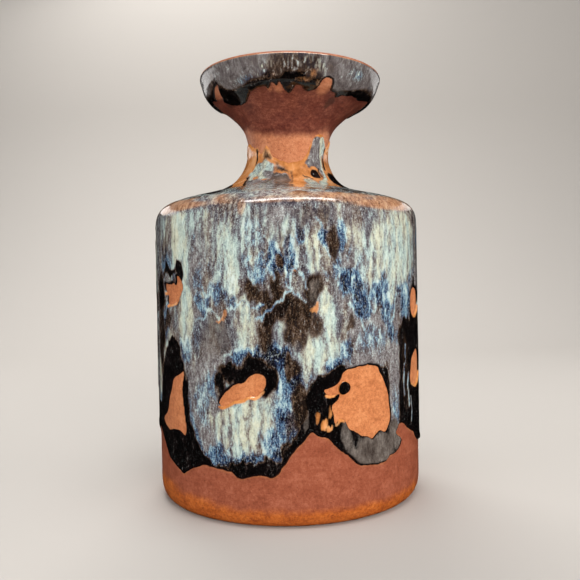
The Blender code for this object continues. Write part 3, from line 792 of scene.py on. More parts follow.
def glaze_look(name, stretch=0.34, gloss=0.08, veil_stops=VEIL_STOPS, fine=0.30, lively=1.0):
    """Fired glaze: its masks are the mesh's layers, broken up by streaks and specks.

    fine is the share of specks in the veil, and lively the strength of its sparks and threads.
    """
    look = Look(name)
    streak = look.noise(look.flow(stretch), 0.46, 5.0, 0.62, 1.1)
    strand = look.noise(look.flow(stretch * 1.1), 1.05, 4.0, 0.60, 0.8)
    speck = look.noise(look.flow(0.85), 2.3, 3.0, 0.62)
    cloud = look.noise(look.flow(0.7), 0.17, 3.0, 0.55)

    cream = look.layer("cream")
    dark = look.layer("dark")
    broken = look.sum((streak, 0.4), (strand, 0.35), (speck, 0.25))
    rutile = look.sum((cream, 0.42), (dark, -0.30), (streak, 1.35), (strand, 1.20), (speck, 0.85),
                      (1.0, -1.40))
    smooth_rutile = look.sum((cream, 0.46), (streak, 1.10), (strand, 0.95), (speck, 0.65), (1.0, -1.05))
    tint = look.noise(look.flow(0.30), 0.24, 4.0, 0.62)
    warm_milky, cool_milky = (look.ramp(smooth_rutile, *stops) for stops in (MILKY_STOPS, MINT_STOPS))
    milky = look.mix(look.step(tint, 0.40, 0.60), warm_milky, cool_milky)
    veil_mask = look.shows("veil", [(broken, 1.0), (cream, -0.6)], 0.55, 1.20)
    veil = look.ramp(look.sum((speck, fine), (strand, 0.32), (streak, 0.68 - fine)), *veil_stops)
    colour = look.mix(veil_mask, milky, veil)
    blue = look.layer("blue")
    blue_mask = look.step(look.sum((blue, 1.0), (strand, 1.4), (speck, 0.9), (streak, 0.7)), 1.62, 2.30)
    dark_mask = look.step(look.sum((dark, 1.0), (broken, 1.4)), 0.96, 1.40)
    black_share = look.step(dark, 0.70, 0.86)
    thinned = look.sum((rutile, 1.0), (blue, -0.20), (1.0, 0.14))
    colour = look.mix(blue_mask, colour, look.ramp(thinned, *BLUE_STOPS))
    darkness = look.mix(black_share, look.ramp(rutile, *BROWN_STOPS), look.ramp(rutile, *DARK_STOPS))
    colour = look.mix(dark_mask, colour, darkness)
    spark = look.step(look.noise(look.flow(0.8), 1.9, 2.0, 0.5), 0.58, 0.72, 0.0, 0.50 * lively)
    spark_colour = look.mix(dark_mask, SPARK_COLOUR, GOLDEN_SPARK)
    colour = look.mix(look.sum((spark, 1.0), (black_share, -0.8)), colour, spark_colour)
    thread = look.noise(look.flow(stretch * 0.8), 0.60, 2.0, 0.50, 2.2)
    beside = look.sum((look.step(thread, 0.475, 0.50), 1.0), (look.step(thread, 0.50, 0.525), -1.0))
    strength = look.sum((look.step(speck, 0.44, 0.60, 0.0, 0.6 * lively), 1.0), (dark_mask, -0.5))
    colour = look.mix(look.times(beside, strength), colour, THREAD_COLOUR)

    clear = look.shows("clear", [(broken, 0.9), (cream, -0.9)], 0.72, 1.35)
    pool = look.ramp(look.sum((cloud, 0.5), (strand, 0.3), (speck, 0.2)), *CLEAR_STOPS)
    colour = look.mix(clear, colour, pool)
    rust = look.shows("rust", [(broken, 1.0)], 0.75, 1.40)
    colour = look.mix(rust, colour, look.ramp(look.sum((streak, 0.5), (speck, 0.5)), *RUST_STOPS))
    rim = look.shows("rim", [(broken, 0.5)], 0.55, 0.90)
    colour = look.mix(rim, colour, RIM_COLOUR)
    amber = look.shows("amber", [(broken, 0.8)], 0.70, 1.25)
    colour = look.mix(amber, colour, look.ramp(look.sum((cloud, 0.6), (streak, 0.4)), *AMBER_STOPS))

    roughness = look.sum((look.step(rutile, 0.4, 0.8), 0.10), (speck, 0.06), (1.0, gloss - 0.03))
    look.bump(look.sum((look.step(rutile, 0.4, 0.8), 0.5), (strand, 0.5), (cloud, 1.8)), 0.35, 0.00012)
    return look.finish(colour, roughness, specular=0.5)


def clay_look(name, bright, deep, roughness, deep_roughness):
    """Bare fired clay, mottled and specked with iron. The deep layer leads from bright to deep."""
    look = Look(name)
    even_flow = look.flow(1.0)
    mottle = look.noise(even_flow, 0.20, 4.0, 0.6)
    fine = look.noise(even_flow, 2.6, 4.0, 0.65)
    blotch = look.noise(even_flow, 0.90, 3.0, 0.60)
    pores = look.cells(even_flow, 1.1)
    turning = look.noise(look.flow(7.0), 0.12, 2.0, 0.5)
    shade = look.sum((mottle, 0.50), (blotch, 0.60), (fine, 0.60), (turning, 0.20), (1.0, -0.45))
    deepness = look.layer("deep")
    colour = look.mix(deepness, look.ramp(shade, *bright), look.ramp(shade, *deep))
    # The warm ramp is the foot's orange darkened as painted shade
    warm = look.shows("warm", [(mottle, 0.5)], 0.45, 0.95)
    colour = look.mix(warm, colour, look.ramp(shade, *SHADED_WARM_STOPS))
    iron = look.step(look.sum((pores, 1.0), (fine, 0.5)), 0.30, 0.42, 0.6, 0.0)
    colour = look.mix(iron, colour, IRON_COLOUR)
    scorch = look.shows("scorch", [(fine, 0.5)], 0.45, 1.05, 0.0, 0.8)
    colour = look.mix(scorch, colour, SCORCH_COLOUR)
    look.bump(look.sum((fine, 0.7), (pores, 0.3), (turning, 0.4)), 0.5, 0.00016)
    shine = look.sum((deepness, deep_roughness - roughness), (fine, 0.12), (1.0, roughness - 0.06))
    return look.finish(colour, shine, specular=0.42)


# ---------------------------------------------------------------- glaze on the body and shoulder

LOWEST_GLAZE = 11.6
MASKS = ("cream", "blue", "dark", "clear", "veil", "amber", "rim", "rust")


def no_masks(values):
    """Every mask at nothing, in the shape of the values."""
    return {name: np.zeros_like(values) for name in MASKS}


def bare_distance(degrees, up):
    """Millimetres into the body's glaze from its nearest edge, negative on bare clay."""
    rough = (
        degrees + 0.75 * uneven(degrees, up, 110, 3.2, 41),
        up + 1.1 * uneven(degrees, up, 110, 3.2, 43),
    )
    distance = band_distance(*rough, LOWER_EDGE, WALL_RADIUS)
    outlines = list(WINDOWS.values()) + [blob(*window) for window in OTHER_WINDOWS]
    for outline in outlines:
        distance = np.minimum(distance, signed_distance(*rough, outline, WALL_RADIUS))
    return distance


def plain_thickness(degrees, up):
    """The coat's own thickness, a little uneven, and thin where it breaks over the shoulder's edge."""
    return COAT + 0.10 * uneven(degrees, up, 60, 9.0, 53) - 0.10 * smoothstep(98.0, GLAZE_BREAK, up)


def body_masks(degrees, up, distance):
    """The colour masks of the body's glaze and the distance above the rutile coat's lower edge."""
    rng = np.random.default_rng(7)
    level_up = up
    degrees = degrees + 2.4 * uneven(degrees, up, 90, 6.0, 201)
    up = up + 7.0 * uneven(degrees, up, 120, 8.0, 203)
    cream = lay_runs(degrees, up, CREAM_RUNS + hidden_runs(rng))
    cream *= 0.72 + 0.5 * layered(degrees, up, 70, 9.0, 205)
    blues = BLUE_PATCHES + hidden_patches(rng, 24, 96, 3.2, 4.0)
    darks = DARK_PATCHES + hidden_patches(rng, 18, 98, 4.2, 5.0)
    clears = CLEAR_PATCHES + hidden_patches(rng, 24, 76, 4.0, 5.0)[:9]
    blue = lay_patches(degrees, up, blues)
    dark = lay_patches(degrees, up, darks)
    clear = lay_patches(degrees, up, clears)
    veil = lay_patches(degrees, up, VEIL_AND_REFLECTION_PATCHES + hidden_patches(rng, 26, 100, 4.6, 9.0))
    amber = lay_patches(degrees, up, AMBER_PATCHES)
    strings = lay_strokes(degrees, up, thin_strokes(STRINGS + hidden_strings(rng)))

    # Below the last runs the dark coat lies bare, with blue where the rutile coat thins out
    rutile = band_distance(degrees, up, RUTILE_EDGE, WALL_RADIUS)
    veiled = np.clip(1.3 * veil * (degrees > 12), 0, 1)
    dark = np.maximum(dark, smoothstep(0.9, -0.9, rutile) * (1.0 - veiled))
    blue = np.maximum(blue, 0.75 * np.exp(-((rutile - 0.8) / 1.2) ** 2) * smoothstep(50.0, 30.0, up))
    ends = shifted_down(blurred(cream, 2, 1), 7)
    blue = np.maximum(blue, 0.9 * np.clip(ends - cream, 0.0, 1.0))
    blue = np.maximum(blue, 0.9 * strings)
    dark *= 1.0 - 0.9 * strings
    cream *= 1.0 - 0.8 * smoothstep(0.5, 0.9, dark)
    cream = np.maximum(cream, 0.9 * strings)
    blue *= (1.0 - 0.35 * smoothstep(0.6, 1.0, dark)) * (1.0 - 0.8 * np.clip(clear, 0, 1))
    veil *= (1.0 - np.clip(dark, 0, 1)) * (1.0 - 0.7 * blue)
    clear *= 1.0 - 0.9 * (rutile < -2.0) * (degrees < 10)

    # Dark rims above the windows and along the foot, amber ones where the coat thins below a window
    upward = blurred(np.gradient(distance, ROW_STEP, axis=0), 2, 2)
    width = 0.38 + 0.6 * smoothstep(0.0, 0.8, upward)
    rim = np.exp(-np.clip(distance, 0, 9) / width) * (0.75 + 0.25 * smoothstep(-0.6, 0.4, upward))
    thin = smoothstep(-0.35, -0.8, upward) * smoothstep(1.5, 0.5, distance)
    thin = thin * smoothstep(30.0, 34.0, level_up)
    amber = np.maximum(amber, 0.9 * thin)
    rim *= 1.0 - thin
    masks = {"cream": cream, "blue": blue, "dark": dark, "clear": clear}
    masks.update({"veil": veil, "amber": amber, "rim": rim})
    return masks, rutile


def above_edge(degrees, up, edge, seed):
    """Millimetres above one of the neck's edges, roughened a little."""
    rough_up = up + 1.6 * uneven(degrees, up, 50, 5.0, seed)
    return band_distance(degrees, rough_up, edge, NECK_RADIUS)


def lay_areas(degrees, up, areas):
    """Areas on the neck with a closed outline, each (strength, softness in mm, outline)."""
    total = np.zeros(degrees.shape)
    for strength, softness, outline in areas:
        distance = signed_distance(degrees, up, outline, NECK_RADIUS, 3)
        total = np.maximum(total, strength * smoothstep(softness, -softness, distance))
    return total


def shoulder_masks(degrees, up):
    """The masks where the glaze broke to orange over the shoulder's edge, and of the shoulder and neck."""
    bent = (
        degrees + 4.0 * uneven(degrees, up, 60, 4.0, 207),
        up + 1.8 * uneven(degrees, up, 60, 4.0, 209),
    )
    shoulder = smoothstep(103.5, 110.0, up) * (1 - smoothstep(125.0, 131.0, up))
    breaking = smoothstep(103.0, 105.0, up) * (1 - smoothstep(108.0, 113.0, up))
    pools = smoothstep(0.50, 0.72, layered(degrees, up, 60, 6, 73))
    plain = 1.0 - smoothstep(124.0, 130.0, up)
    veil = lay_areas(*bent, NECK_VEIL)
    dark = lay_areas(*bent, NECK_DARK)
    dark = np.maximum(dark, lay_strokes(*bent, NECK_DARK_LINES, NECK_RADIUS))
    cream = lay_areas(*bent, NECK_CREAM)
    # The cream lines include a painted highlight on the grey pool
    cream = np.maximum(cream, lay_strokes(*bent, NECK_CREAM_AND_HIGHLIGHT_LINES, NECK_RADIUS))
    clear = lay_areas(*bent, NECK_CLEAR)
    covered = np.clip(np.maximum(np.maximum(veil, cream), np.maximum(dark, clear)), 0.0, 1.0)
    masks = {"cream": np.maximum(cream, shoulder * 0.85 * layered(degrees, up * 0.3, 110, 2.2, 71))}
    masks["dark"] = np.maximum(dark, 0.75 * shoulder * pools)
    masks["veil"] = np.maximum(1.3 * veil, 0.6 * shoulder * (1 - pools))
    masks["clear"] = clear
    masks["blue"] = 0.45 * shoulder * layered(degrees, up, 70, 5, 83, 2)
    masks["rust"] = breaking * (0.15 + 0.75 * layered(degrees, up, 40, 5.0, 61))
    masks["rust"] = np.maximum(masks["rust"], lay_patches(degrees, up, SHOULDER_RUST))
    masks["amber"] = 1.1 * (1.0 - plain) * (1.0 - 0.95 * covered)
    centre = lay_areas(*bent, NECK_AMBER)
    masks["amber"] = np.maximum(masks["amber"], centre)
    masks["rim"] = 0.0 * up
    return masks


def skin_masks(degrees, up, distance):
    """All the masks of the body, shoulder and neck, joined over the shoulder's edge."""
    masks, rutile = body_masks(degrees, up, distance)
    upper = shoulder_masks(degrees, up)
    fade = 1 - smoothstep(101.5, 105.5, up)
    for name in MASKS:
        lower = masks.get(name, 0.0 * up)
        masks[name] = np.maximum(lower * fade, upper[name])
    masks["flow"] = flow_layer(degrees, up)
    return masks, rutile


def cells_touching(chosen):
    """The grid's cells with at least one chosen corner."""
    right = np.roll(chosen, -1, axis=1)
    return chosen[:-1] | chosen[1:] | right[:-1] | right[1:]


def make_body_glaze():
    degrees, up = make_grid(LOWEST_GLAZE, GLAZE_BREAK + 4 * ROW_STEP, ROW_STEP)
    degrees, up = snapped(degrees, up, bare_distance(degrees, up), WALL_RADIUS, ROW_STEP)
    distance = bare_distance(degrees, up)
    masks, rutile = skin_masks(degrees, up, distance)
    level = smoothstep(GLAZE_BREAK, 97.0, up)
    bead = 0.30 * np.exp(-((distance - 1.3) / 1.1) ** 2) * smoothstep(34.0, 24.0, up)
    thickness = plain_thickness(degrees, up) + bead
    thickness += level * (0.10 * masks["cream"] + 0.12 * smoothstep(-0.3, 0.9, rutile))
    lift = coat_lift(distance, thickness, 0.8, 0.04, -0.14)
    points = skin(degrees, up, lift + clay_relief(degrees, up))
    normals = normals_of(points)
    kept = cells_touching(distance > 0.04)
    kept &= up[:-1] < GLAZE_BREAK - 0.5 * ROW_STEP
    upper = rutile[:-1] > 0
    base = add_piece("base_glaze", points, kept & ~upper, masks, glaze_look("dark_base_glaze"), normals)
    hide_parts("body_glaze")
    over = add_piece("rutile_glaze", points, kept & upper, masks, glaze_look("rutile_over_dark"), normals)
    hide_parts("rutile_overglaze")


# Where the shoulder's thin glaze broke to orange, as soft patches
SHOULDER_RUST = [
    (-16.5, 103.6, 2.2, 3.6, 0.50), (44, 104.6, 22, 2.4, 0.66), (52, 105.4, 10, 3.2, 0.7),
    (-52, 105.4, 24, 2.2, 0.64), (-58, 105.4, 9, 2.6, 0.66), (18, 105.6, 10, 1.2, 0.5),
    (-4, 106.2, 12, 1.0, 0.5), (150, 105, 22, 2.4, 0.8), (216, 105.4, 16, 1.8, 0.7),
    (100, 105.4, 14, 1.6, 0.7), (262, 105, 16, 2.0, 0.7),
]
NECK_RADIUS = 18.0
# Areas on the neck: (strength, softness in mm, outline)
NECK_CREAM = [
    (0.85, 1.0, [(-45, 140.8), (-41, 143.8), (-34, 143.4), (-29, 144.8), (-23, 143.2), (-17, 142.6),
        (-14.5, 139.5), (-17.5, 136.8), (-15.5, 134), (-22, 134.8), (-27, 133.6), (-33, 136.6),
        (-41, 136.8)]),
    (0.9, 0.7, [(46.5, 152.5), (50, 154), (56, 153.6), (60.5, 150.8), (58, 147.8), (53, 146), (50, 140.5),
        (46, 136), (38, 131.8), (30, 127.4), (25.5, 127), (29, 131.2), (36, 134.8), (43, 138.4),
        (46.4, 144)]),
    (0.7, 0.9, [(16, 134), (21, 134.8), (26.5, 133.4), (28, 130), (25, 124), (20, 118.5), (14, 117.5),
        (13.6, 123), (15, 129)]),
    (0.8, 0.8, [(92, 148), (98, 150), (104, 146), (103, 138), (110, 130), (100, 122), (92, 130),
        (94, 140)]),
    (0.7, 0.8, [(192, 145), (202, 147), (212, 143), (214, 135), (206, 128), (196, 131), (190, 138)]),
    (0.85, 0.8, [(243, 150), (249, 151), (252, 145), (250, 138), (258, 130), (250, 122), (242, 130),
        (244, 141)]),
]
NECK_VEIL = [
    (0.9, 0.8, [(-30, 139.6), (-18, 139.0), (-12, 137.8), (-4, 138.2), (2, 136.6), (2.6, 133.6),
        (-6, 134.6), (-16, 133.8)]),
    (1.0, 0.8, [(22, 143), (26, 145), (30, 148), (34, 150.5), (38, 153), (43, 154), (48, 153), (48.5, 147),
        (47, 141), (42, 137.6), (38, 141), (31, 141.8), (26, 141)]),
    (0.9, 0.8, [(-16, 134.5), (-13, 132), (-9, 127), (-14, 118), (-24, 118), (-30, 127), (-38, 133),
        (-30, 135), (-22, 133.8)]),
    (0.8, 0.8, [(-14, 134), (-6, 135.4), (2, 134), (3, 129), (1, 120), (-6, 116), (-12, 120)]),
    (1.0, 1.6, [(86, 148), (96, 152), (108, 148), (112, 138), (118, 128), (104, 118), (88, 122),
        (84, 136)]),
    (1.0, 1.6, [(184, 144), (198, 149), (214, 146), (220, 136), (214, 122), (196, 120), (186, 130)]),
    (1.0, 1.6, [(238, 151), (247, 154), (256, 150), (258, 140), (266, 126), (250, 116), (236, 122),
        (234, 138)]),
    (0.9, 1.6, [(140, 143), (150, 146), (158, 141), (162, 128), (150, 118), (138, 126)]),
]
NECK_CLEAR = [
    (1.1, 0.8, [(-14, 137.4), (-7, 138.0), (0, 137.2), (3, 134.5), (2, 129), (-3, 124), (-9, 125),
        (-14, 131)]),
]
NECK_DARK = [
    (0.70, 1.6, [(-15, 142.8), (-9, 142.4), (-2, 141.2), (2.6, 139.2), (3.6, 137.2), (-2, 138.4), (-9, 139),
        (-14, 139.8)]),
    (0.66, 1.6, [(-36, 147), (-30, 149.6), (-25, 147.6), (-20, 145), (-27, 144), (-34, 144)]),
    (0.95, 0.6, [(26.5, 137.2), (29, 139.8), (33, 140.4), (36.6, 138.8), (37.4, 136.6), (33.6, 135.2),
        (29.5, 135.4)]),
    (0.85, 0.8, [(-49, 149.4), (-45.6, 149.0), (-43, 146.8), (-42.4, 143.6), (-45.6, 142.4),
        (-47.4, 145.8)]),
    (0.9, 1.2, [(52, 139), (64, 140), (80, 138), (84, 128), (70, 118), (50, 112), (42, 114), (48, 124),
        (50, 133)]),
    (0.9, 1.0, [(-80, 134), (-62, 133), (-50, 129), (-40, 121), (-34, 113), (-48, 114), (-66, 122)]),
    (0.75, 2.0, [(160, 141), (168, 144), (178, 140), (182, 130), (170, 118), (158, 128)]),
    (0.75, 2.0, [(112, 143), (121, 146), (130, 140), (136, 128), (122, 120), (112, 132)]),
    (0.75, 2.0, [(220, 145), (227, 147), (234, 141), (236, 130), (224, 120), (216, 134)]),
]
NECK_AMBER = [
    (1.1, 0.8, [(4, 143), (9, 143.4), (15, 143.2), (24, 142.4), (26, 139.4), (21, 137.4), (16, 137),
        (14, 131), (12, 124), (9.5, 119), (5, 119), (4.2, 126), (4.6, 132), (6, 137), (5, 140)]),
]
# Lines on the neck: (half width in mm, strength, [(degrees, up), ...])
NECK_CREAM_AND_HIGHLIGHT_LINES = [
    (1.1, 0.9, [(-45, 139), (-40, 136.2), (-34, 132.6), (-28, 127.5), (-21, 118.5)]),
    # The first line here, across the grey pool, is a painted highlight
    (0.5, 0.9, [(-12, 136.6), (-7, 137.2), (-2, 137.0)]), (0.6, 0.7, [(-11, 133), (-9, 127), (-8, 118)]),
    (0.6, 0.6, [(31, 137.4), (32.5, 137.6)]), (0.8, 0.8, [(-58, 120), (-48, 116), (-38, 111.5)]),
    (0.9, 0.8, [(72, 122), (60, 117), (50, 112)]), (0.8, 0.8, [(128, 122), (122, 114)]),
]
NECK_DARK_LINES = [
    (0.7, 0.5, [(-40, 142.6), (-36, 140.6), (-31, 141.2), (-27, 138.4), (-21, 138.8)]),
    (0.7, 0.5, [(-33, 144), (-31, 141.2), (-33.4, 138), (-30, 135.6)]),
    (0.6, 0.45, [(-24, 143), (-22, 140.4), (-18, 139.4)]),
    (0.7, 0.8, [(-46, 137.2), (-39, 132.4), (-31, 126), (-25, 118)]),
    (0.8, 0.8, [(62, 150.4), (57, 146), (52.6, 141.6)]),
    (0.9, 0.55, [(-15, 141), (-13.6, 137), (-15, 133), (-17, 128)]),
    (0.8, 0.55, [(3.6, 139), (5.2, 136), (3.8, 130)]),
    (0.6, 0.7, [(40, 141.2), (37.8, 139.4), (40.4, 136.4)]),
    (0.6, 0.7, [(18, 137.0), (21.4, 135.6), (26, 134.6)]),
]
# The upper edge of the neck's glaze, and the line above which the clay under the mouth was flashed maroon
NECK_EDGE = [
    (-85, 151), (-76, 152.4), (-66, 151.6), (-58, 150.4), (-52, 149.4), (-47.5, 149.8), (-44, 147.6),
    (-40, 147.4), (-36, 148.6), (-31, 150.4), (-27, 149.2), (-22, 146.2), (-16, 144.8), (-8, 143.8),
    (2, 143.3), (12, 143.6), (20, 145.0), (26, 146.8), (31, 149.4), (36, 152.2), (41, 154.2), (48, 155.0),
    (56, 154.8), (62, 152.4), (68, 150.6), (78, 152.2), (88, 154.4), (96, 155.6), (106, 153.0),
    (116, 149.4), (126, 147.2), (136, 149.4), (146, 151.0), (158, 147.2), (168, 148.6), (178, 145.4),
    (190, 148.2), (202, 151.0), (214, 149.2), (224, 152.4), (234, 154.0), (246, 156.0), (256, 153.4),
    (264, 149.8),
]
MAROON_EDGE = [
    (-85, 158), (-66, 157.4), (-52, 155.8), (-38, 154.8), (-22, 154.0), (-5, 153.6), (12, 153.8),
    (28, 154.2), (42, 155.4), (60, 156.8), (84, 155.4), (110, 153.8), (142, 155.4), (170, 154.2),
    (202, 156.2), (243, 154.4),
]
UPPER_STEP = 0.4


def make_upper_glaze():
    degrees, up = make_grid(GLAZE_BREAK - 5 * UPPER_STEP, NECK_TOP, UPPER_STEP)
    degrees, up = snapped(degrees, up, -above_edge(degrees, up, NECK_EDGE, 97), NECK_RADIUS, UPPER_STEP)
    distance = -above_edge(degrees, up, NECK_EDGE, 97)
    masks, _ = skin_masks(degrees, up, np.full(up.shape, 6.0))
    thickness = plain_thickness(degrees, up) + 0.12 * smoothstep(108.0, 120.0, up) * masks["cream"]
    thickness += 0.16 * np.exp(-((distance - 1.2) / 0.9) ** 2)
    points = skin(degrees, up, coat_lift(distance, thickness, 1.2) + clay_relief(degrees, up))
    normals = normals_of(points)
    kept = cells_touching(distance > 0.03) & (up[:-1] > GLAZE_BREAK - 0.5 * UPPER_STEP)
    on_shoulder = up[:-1] < NECK_FOOT - 0.5 * UPPER_STEP
    looks = glaze_look("broken_glaze", fine=0.25, lively=0.5)
    shoulder = add_piece("broken_shoulder_glaze", points, kept & on_shoulder, masks, looks, normals)
    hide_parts("shoulder_glaze")
    looks = glaze_look("amber_over_clay", gloss=0.22, fine=0.15, lively=0.2)
    neck = add_piece("amber_neck_glaze", points, kept & ~on_shoulder, masks, looks, normals)
    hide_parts("neck_glaze")


# ---------------------------------------------------------------- glaze of the mouth

MOUTH_RADIUS = 33.0
MOUTH_ROWS = (162.0, 186.0, 0.3)
MOUTH_TOP = 185.0
# The heights between which the lip's glaze gives way to bare clay
LIP_BREAK = (184.4, 185.2)
# Above this line the mouth's glaze turned milky
MOUTH_VEIL_EDGE = [
    (-85, 178), (-75, 177), (-68, 177.5), (-63, 179.5), (-58, 183.0), (-54, 182.5), (-50, 178.8),
    (-46, 175.6), (-40, 174.8), (-34, 175.4), (-28, 177.0), (-22, 178.6), (-17, 180.4), (-13.5, 183),
    (-11, 185.6), (-5, 186.4), (5, 186.4), (14, 186.2), (19, 185), (21.5, 181), (23, 177.6), (27, 178.0),
    (31, 173.8), (36, 173.6), (42, 174.4), (50, 176.2), (58, 177.8), (63, 179.8), (67, 179.2), (73, 178.2),
    (85, 177), (98, 175.4), (112, 174.0), (126, 177.5), (140, 181.5), (152, 179), (164, 175.5),
    (178, 176.5), (190, 180), (204, 178), (216, 174.5), (228, 176.5), (240, 181), (252, 179), (262, 176.5),
]
# Soft patches on the mouth band: (degrees, up, half width in degrees, half height, strength)
MOUTH_FLECKS = [
    (-34, 179.5, 14, 4, 0.7), (-16, 180, 8, 3, 1.0), (0, 181, 8, 2.6, 1.1), (13, 181.5, 8, 3.0, 1.1),
    (45, 181, 8, 2.4, 1.2), (36, 176.5, 7, 2.4, 0.9), (-41, 175.8, 6, 1.4, 0.9), (70, 181, 8, 3, 0.5),
    (100, 180, 14, 4, 1.0), (150, 181, 16, 3, 1.0), (196, 180, 12, 4, 1.0), (250, 181, 14, 3, 1.0),
]
MOUTH_BLUE = [
    (-14, 177.6, 5, 1.6, 1.0), (-26, 177.0, 8, 1.6, 0.6), (0, 174.0, 4.5, 2.2, 0.7), (1, 180.4, 7, 2, 0.7),
    (46, 180.5, 6, 2.0, 0.5), (120, 178, 10, 3, 0.7), (220, 178, 10, 3, 0.7),
]
MOUTH_DARK = [
    (25, 181.0, 5, 3.6, 0.5), (-21, 183.0, 6, 2.4, 0.4), (34, 184, 6, 2, 0.4), (128, 176, 10, 4, 0.8),
]
MOUTH_AMBER = [(7.5, 176.4, 6.4, 2.0, 0.44), (14.2, 178.6, 3.0, 2.4, 0.50), (-10, 178, 2.0, 1.2, 0.4)]
ORANGE_NOTCHES = [
    (25, 174.6, 5.5, 4.2, 1.0), (-8, 173.6, 4.0, 3.0, 0.9), (-62, 175.5, 10, 3.0, 0.8),
    (-14.5, 172.5, 2, 1.6, 0.6),
]
DARK_DRIPS = [
    (38, 167.4, 4.6, 3.0, 0.9), (-60, 169, 9, 2.0, 0.7), (-42, 165.5, 8, 1.5, 0.5), (128, 168, 6, 3.0, 0.9),
]


def make_mouth_glaze():
    degrees, up = make_grid(*MOUTH_ROWS)
    rough = (
        degrees + 1.6 * uneven(degrees, up, 90, 2.4, 111),
        up + 1.2 * uneven(degrees, up, 90, 2.4, 113),
    )
    distance = band_distance(*rough, MOUTH_EDGE, MOUTH_RADIUS)
    distance = np.minimum(distance, signed_distance(*rough, MOUTH_SLOT, MOUTH_RADIUS))
    distance = np.minimum(distance, MOUTH_TOP - up)
    milky = band_distance(*rough, MOUTH_VEIL_EDGE, MOUTH_RADIUS)
    masks = no_masks(up)
    flecks = 0.75 * smoothstep(0.51, 0.72, layered(degrees, 0.5 * up, 330, 0.9, 119, 2))
    masks["cream"] = flecks * lay_patches(*rough, MOUTH_FLECKS)
    masks["blue"] = lay_patches(*rough, MOUTH_BLUE, 0.0)
    masks["veil"] = 0.15 + 0.95 * smoothstep(-1.6, 2.4, milky)
    # Painted reflection: cream growing from 24 to 62 degrees either side of the front, on the milky glaze
    painted_side_reflection = 0.4 * smoothstep(24, 62, np.abs(degrees)) * smoothstep(0, 3, milky)
    masks["cream"] = np.maximum(masks["cream"], painted_side_reflection)
    soft = 1.6 + 2.4 * smoothstep(176.0, 180.0, up)
    masks["dark"] = 1.0 - 0.95 * smoothstep(-1.0, 1.0, milky / soft)
    masks["dark"] *= 1.0 - 0.40 * smoothstep(-7.9, -7.0, milky) * smoothstep(175.0, 178.0, up)
    masks["dark"] = np.maximum(masks["dark"], lay_patches(*rough, MOUTH_DARK, 0.0))
    masks["amber"] = lay_patches(*rough, MOUTH_AMBER, 0.0)
    masks["rim"] = np.exp(-np.clip(distance, 0, 9) / 0.8) * smoothstep(183.0, 181.0, up)
    masks["rust"] = 1.25 * lay_patches(*rough, MOUTH_RUST, 0.0)
    masks["rust"] = np.maximum(masks["rust"], 0.9 * smoothstep(*LIP_BREAK, up))
    masks["flow"] = flow_layer(degrees, up)
    thickness = COAT * 0.8 + 0.10 * uneven(degrees, up, 60, 4.0, 117)
    thickness *= 1 - 0.45 * smoothstep(179.0, MOUTH_TOP, up)
    points = skin(degrees, up, coat_lift(distance, thickness, 0.7) + clay_relief(degrees, up))
    kept = cells_touching(distance > 0.03)
    looks = glaze_look("mouth_glaze", 0.20, 0.06, MOUTH_VEIL_STOPS, 0.10, 0.15)
    band = add_piece("mouth_band_glaze", points, kept, masks, looks, normals_of(points))
    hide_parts("mouth_glaze")


def make_drop():
    """The bead of dark glaze that landed in the large bare window."""
    middle, height, reach, rise = 21.2, 44.6, 2.15, 0.8
    rings, spokes = 18, 48
    share = np.linspace(0.0, 1.0, rings)[:, None]
    turn = np.linspace(0.0, math.tau, spokes, endpoint=False)[None, :]
    wobble = 1.0 + 0.07 * np.sin(2 * turn + 0.6) + 0.04 * np.sin(3 * turn + 2.0)
    across = reach * share * wobble * np.cos(turn)
    tall = 1.08 * reach * share * wobble * np.sin(turn)
    degrees = middle + np.degrees(across / WALL_RADIUS)
    up = height + tall
    lift = rise * np.sqrt(np.clip(1.0 - share ** 2.4, 0.0, 1.0)) + 0.0 * turn - 0.05
    points = skin(degrees, up, lift + clay_relief(degrees, up))
    masks = no_masks(up)
    masks["dark"] = np.ones_like(up)
    masks["amber"] = 0.9 * smoothstep(0.80, 1.0, share + 0.0 * turn)
    masks["flow"] = flow_layer(degrees, up)
    turned = {name: values[::-1] for name, values in masks.items()}
    whole = np.ones((rings - 1, spokes), bool)
    drop = add_piece("drop_of_glaze", points[::-1], whole, turned, glaze_look("drop_glaze", gloss=0.05))
    close_poles(drop.data, points[0, 0])
    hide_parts("glaze_drop")


# ---------------------------------------------------------------- clay

# In metres, like the meshes
POLE_REACH = 2e-5
WELD_DISTANCE = 5e-5


def close_poles(mesh, *poles):
    """Welds the points that lie together at each pole, given in millimetres."""
    shape = bmesh.new()
    shape.from_mesh(mesh)
    together = [vertex for vertex in shape.verts for pole in poles
                if (vertex.co - Vector(pole) * MM).length < POLE_REACH]
    bmesh.ops.remove_doubles(shape, verts=together, dist=WELD_DISTANCE)
    shape.to_mesh(mesh)
    shape.free()


def turned_rows(profile, degrees):
    """The points of a profile of (radius, height) turned round the axis, with the vase's lean."""
    profile = np.array(profile, float)
    radius = profile[:, :1] + 0.0 * degrees[:1]
    height = profile[:, 1:] + 0.0 * degrees[:1]
    turn = np.radians(degrees[:1]) + 0.0 * radius
    return lean(radius * np.sin(turn), -radius * np.cos(turn), height)


def add_turned(name, sections, looks):
    """A turned piece made of sections of rows, each with its own masks. Sections meet at sharp corners."""
    points = np.concatenate([section[0] for section in sections])
    normals = np.concatenate([normals_of(section[0]) for section in sections])
    lost = np.linalg.norm(normals, axis=-1) < 0.5
    for row in np.unique(np.nonzero(lost)[0]):
        normals[row] = normals[row - 1] if row else normals[1]
    masks = {key: np.concatenate([section[1][key] for section in sections]) for key in sections[0][1]}
    keep = np.ones((len(points) - 1, points.shape[1]), bool)
    last = -1
    for section in sections[:-1]:
        last += len(section[0])
        keep[last] = False
    return add_piece(name, points, keep, masks, looks, normals)


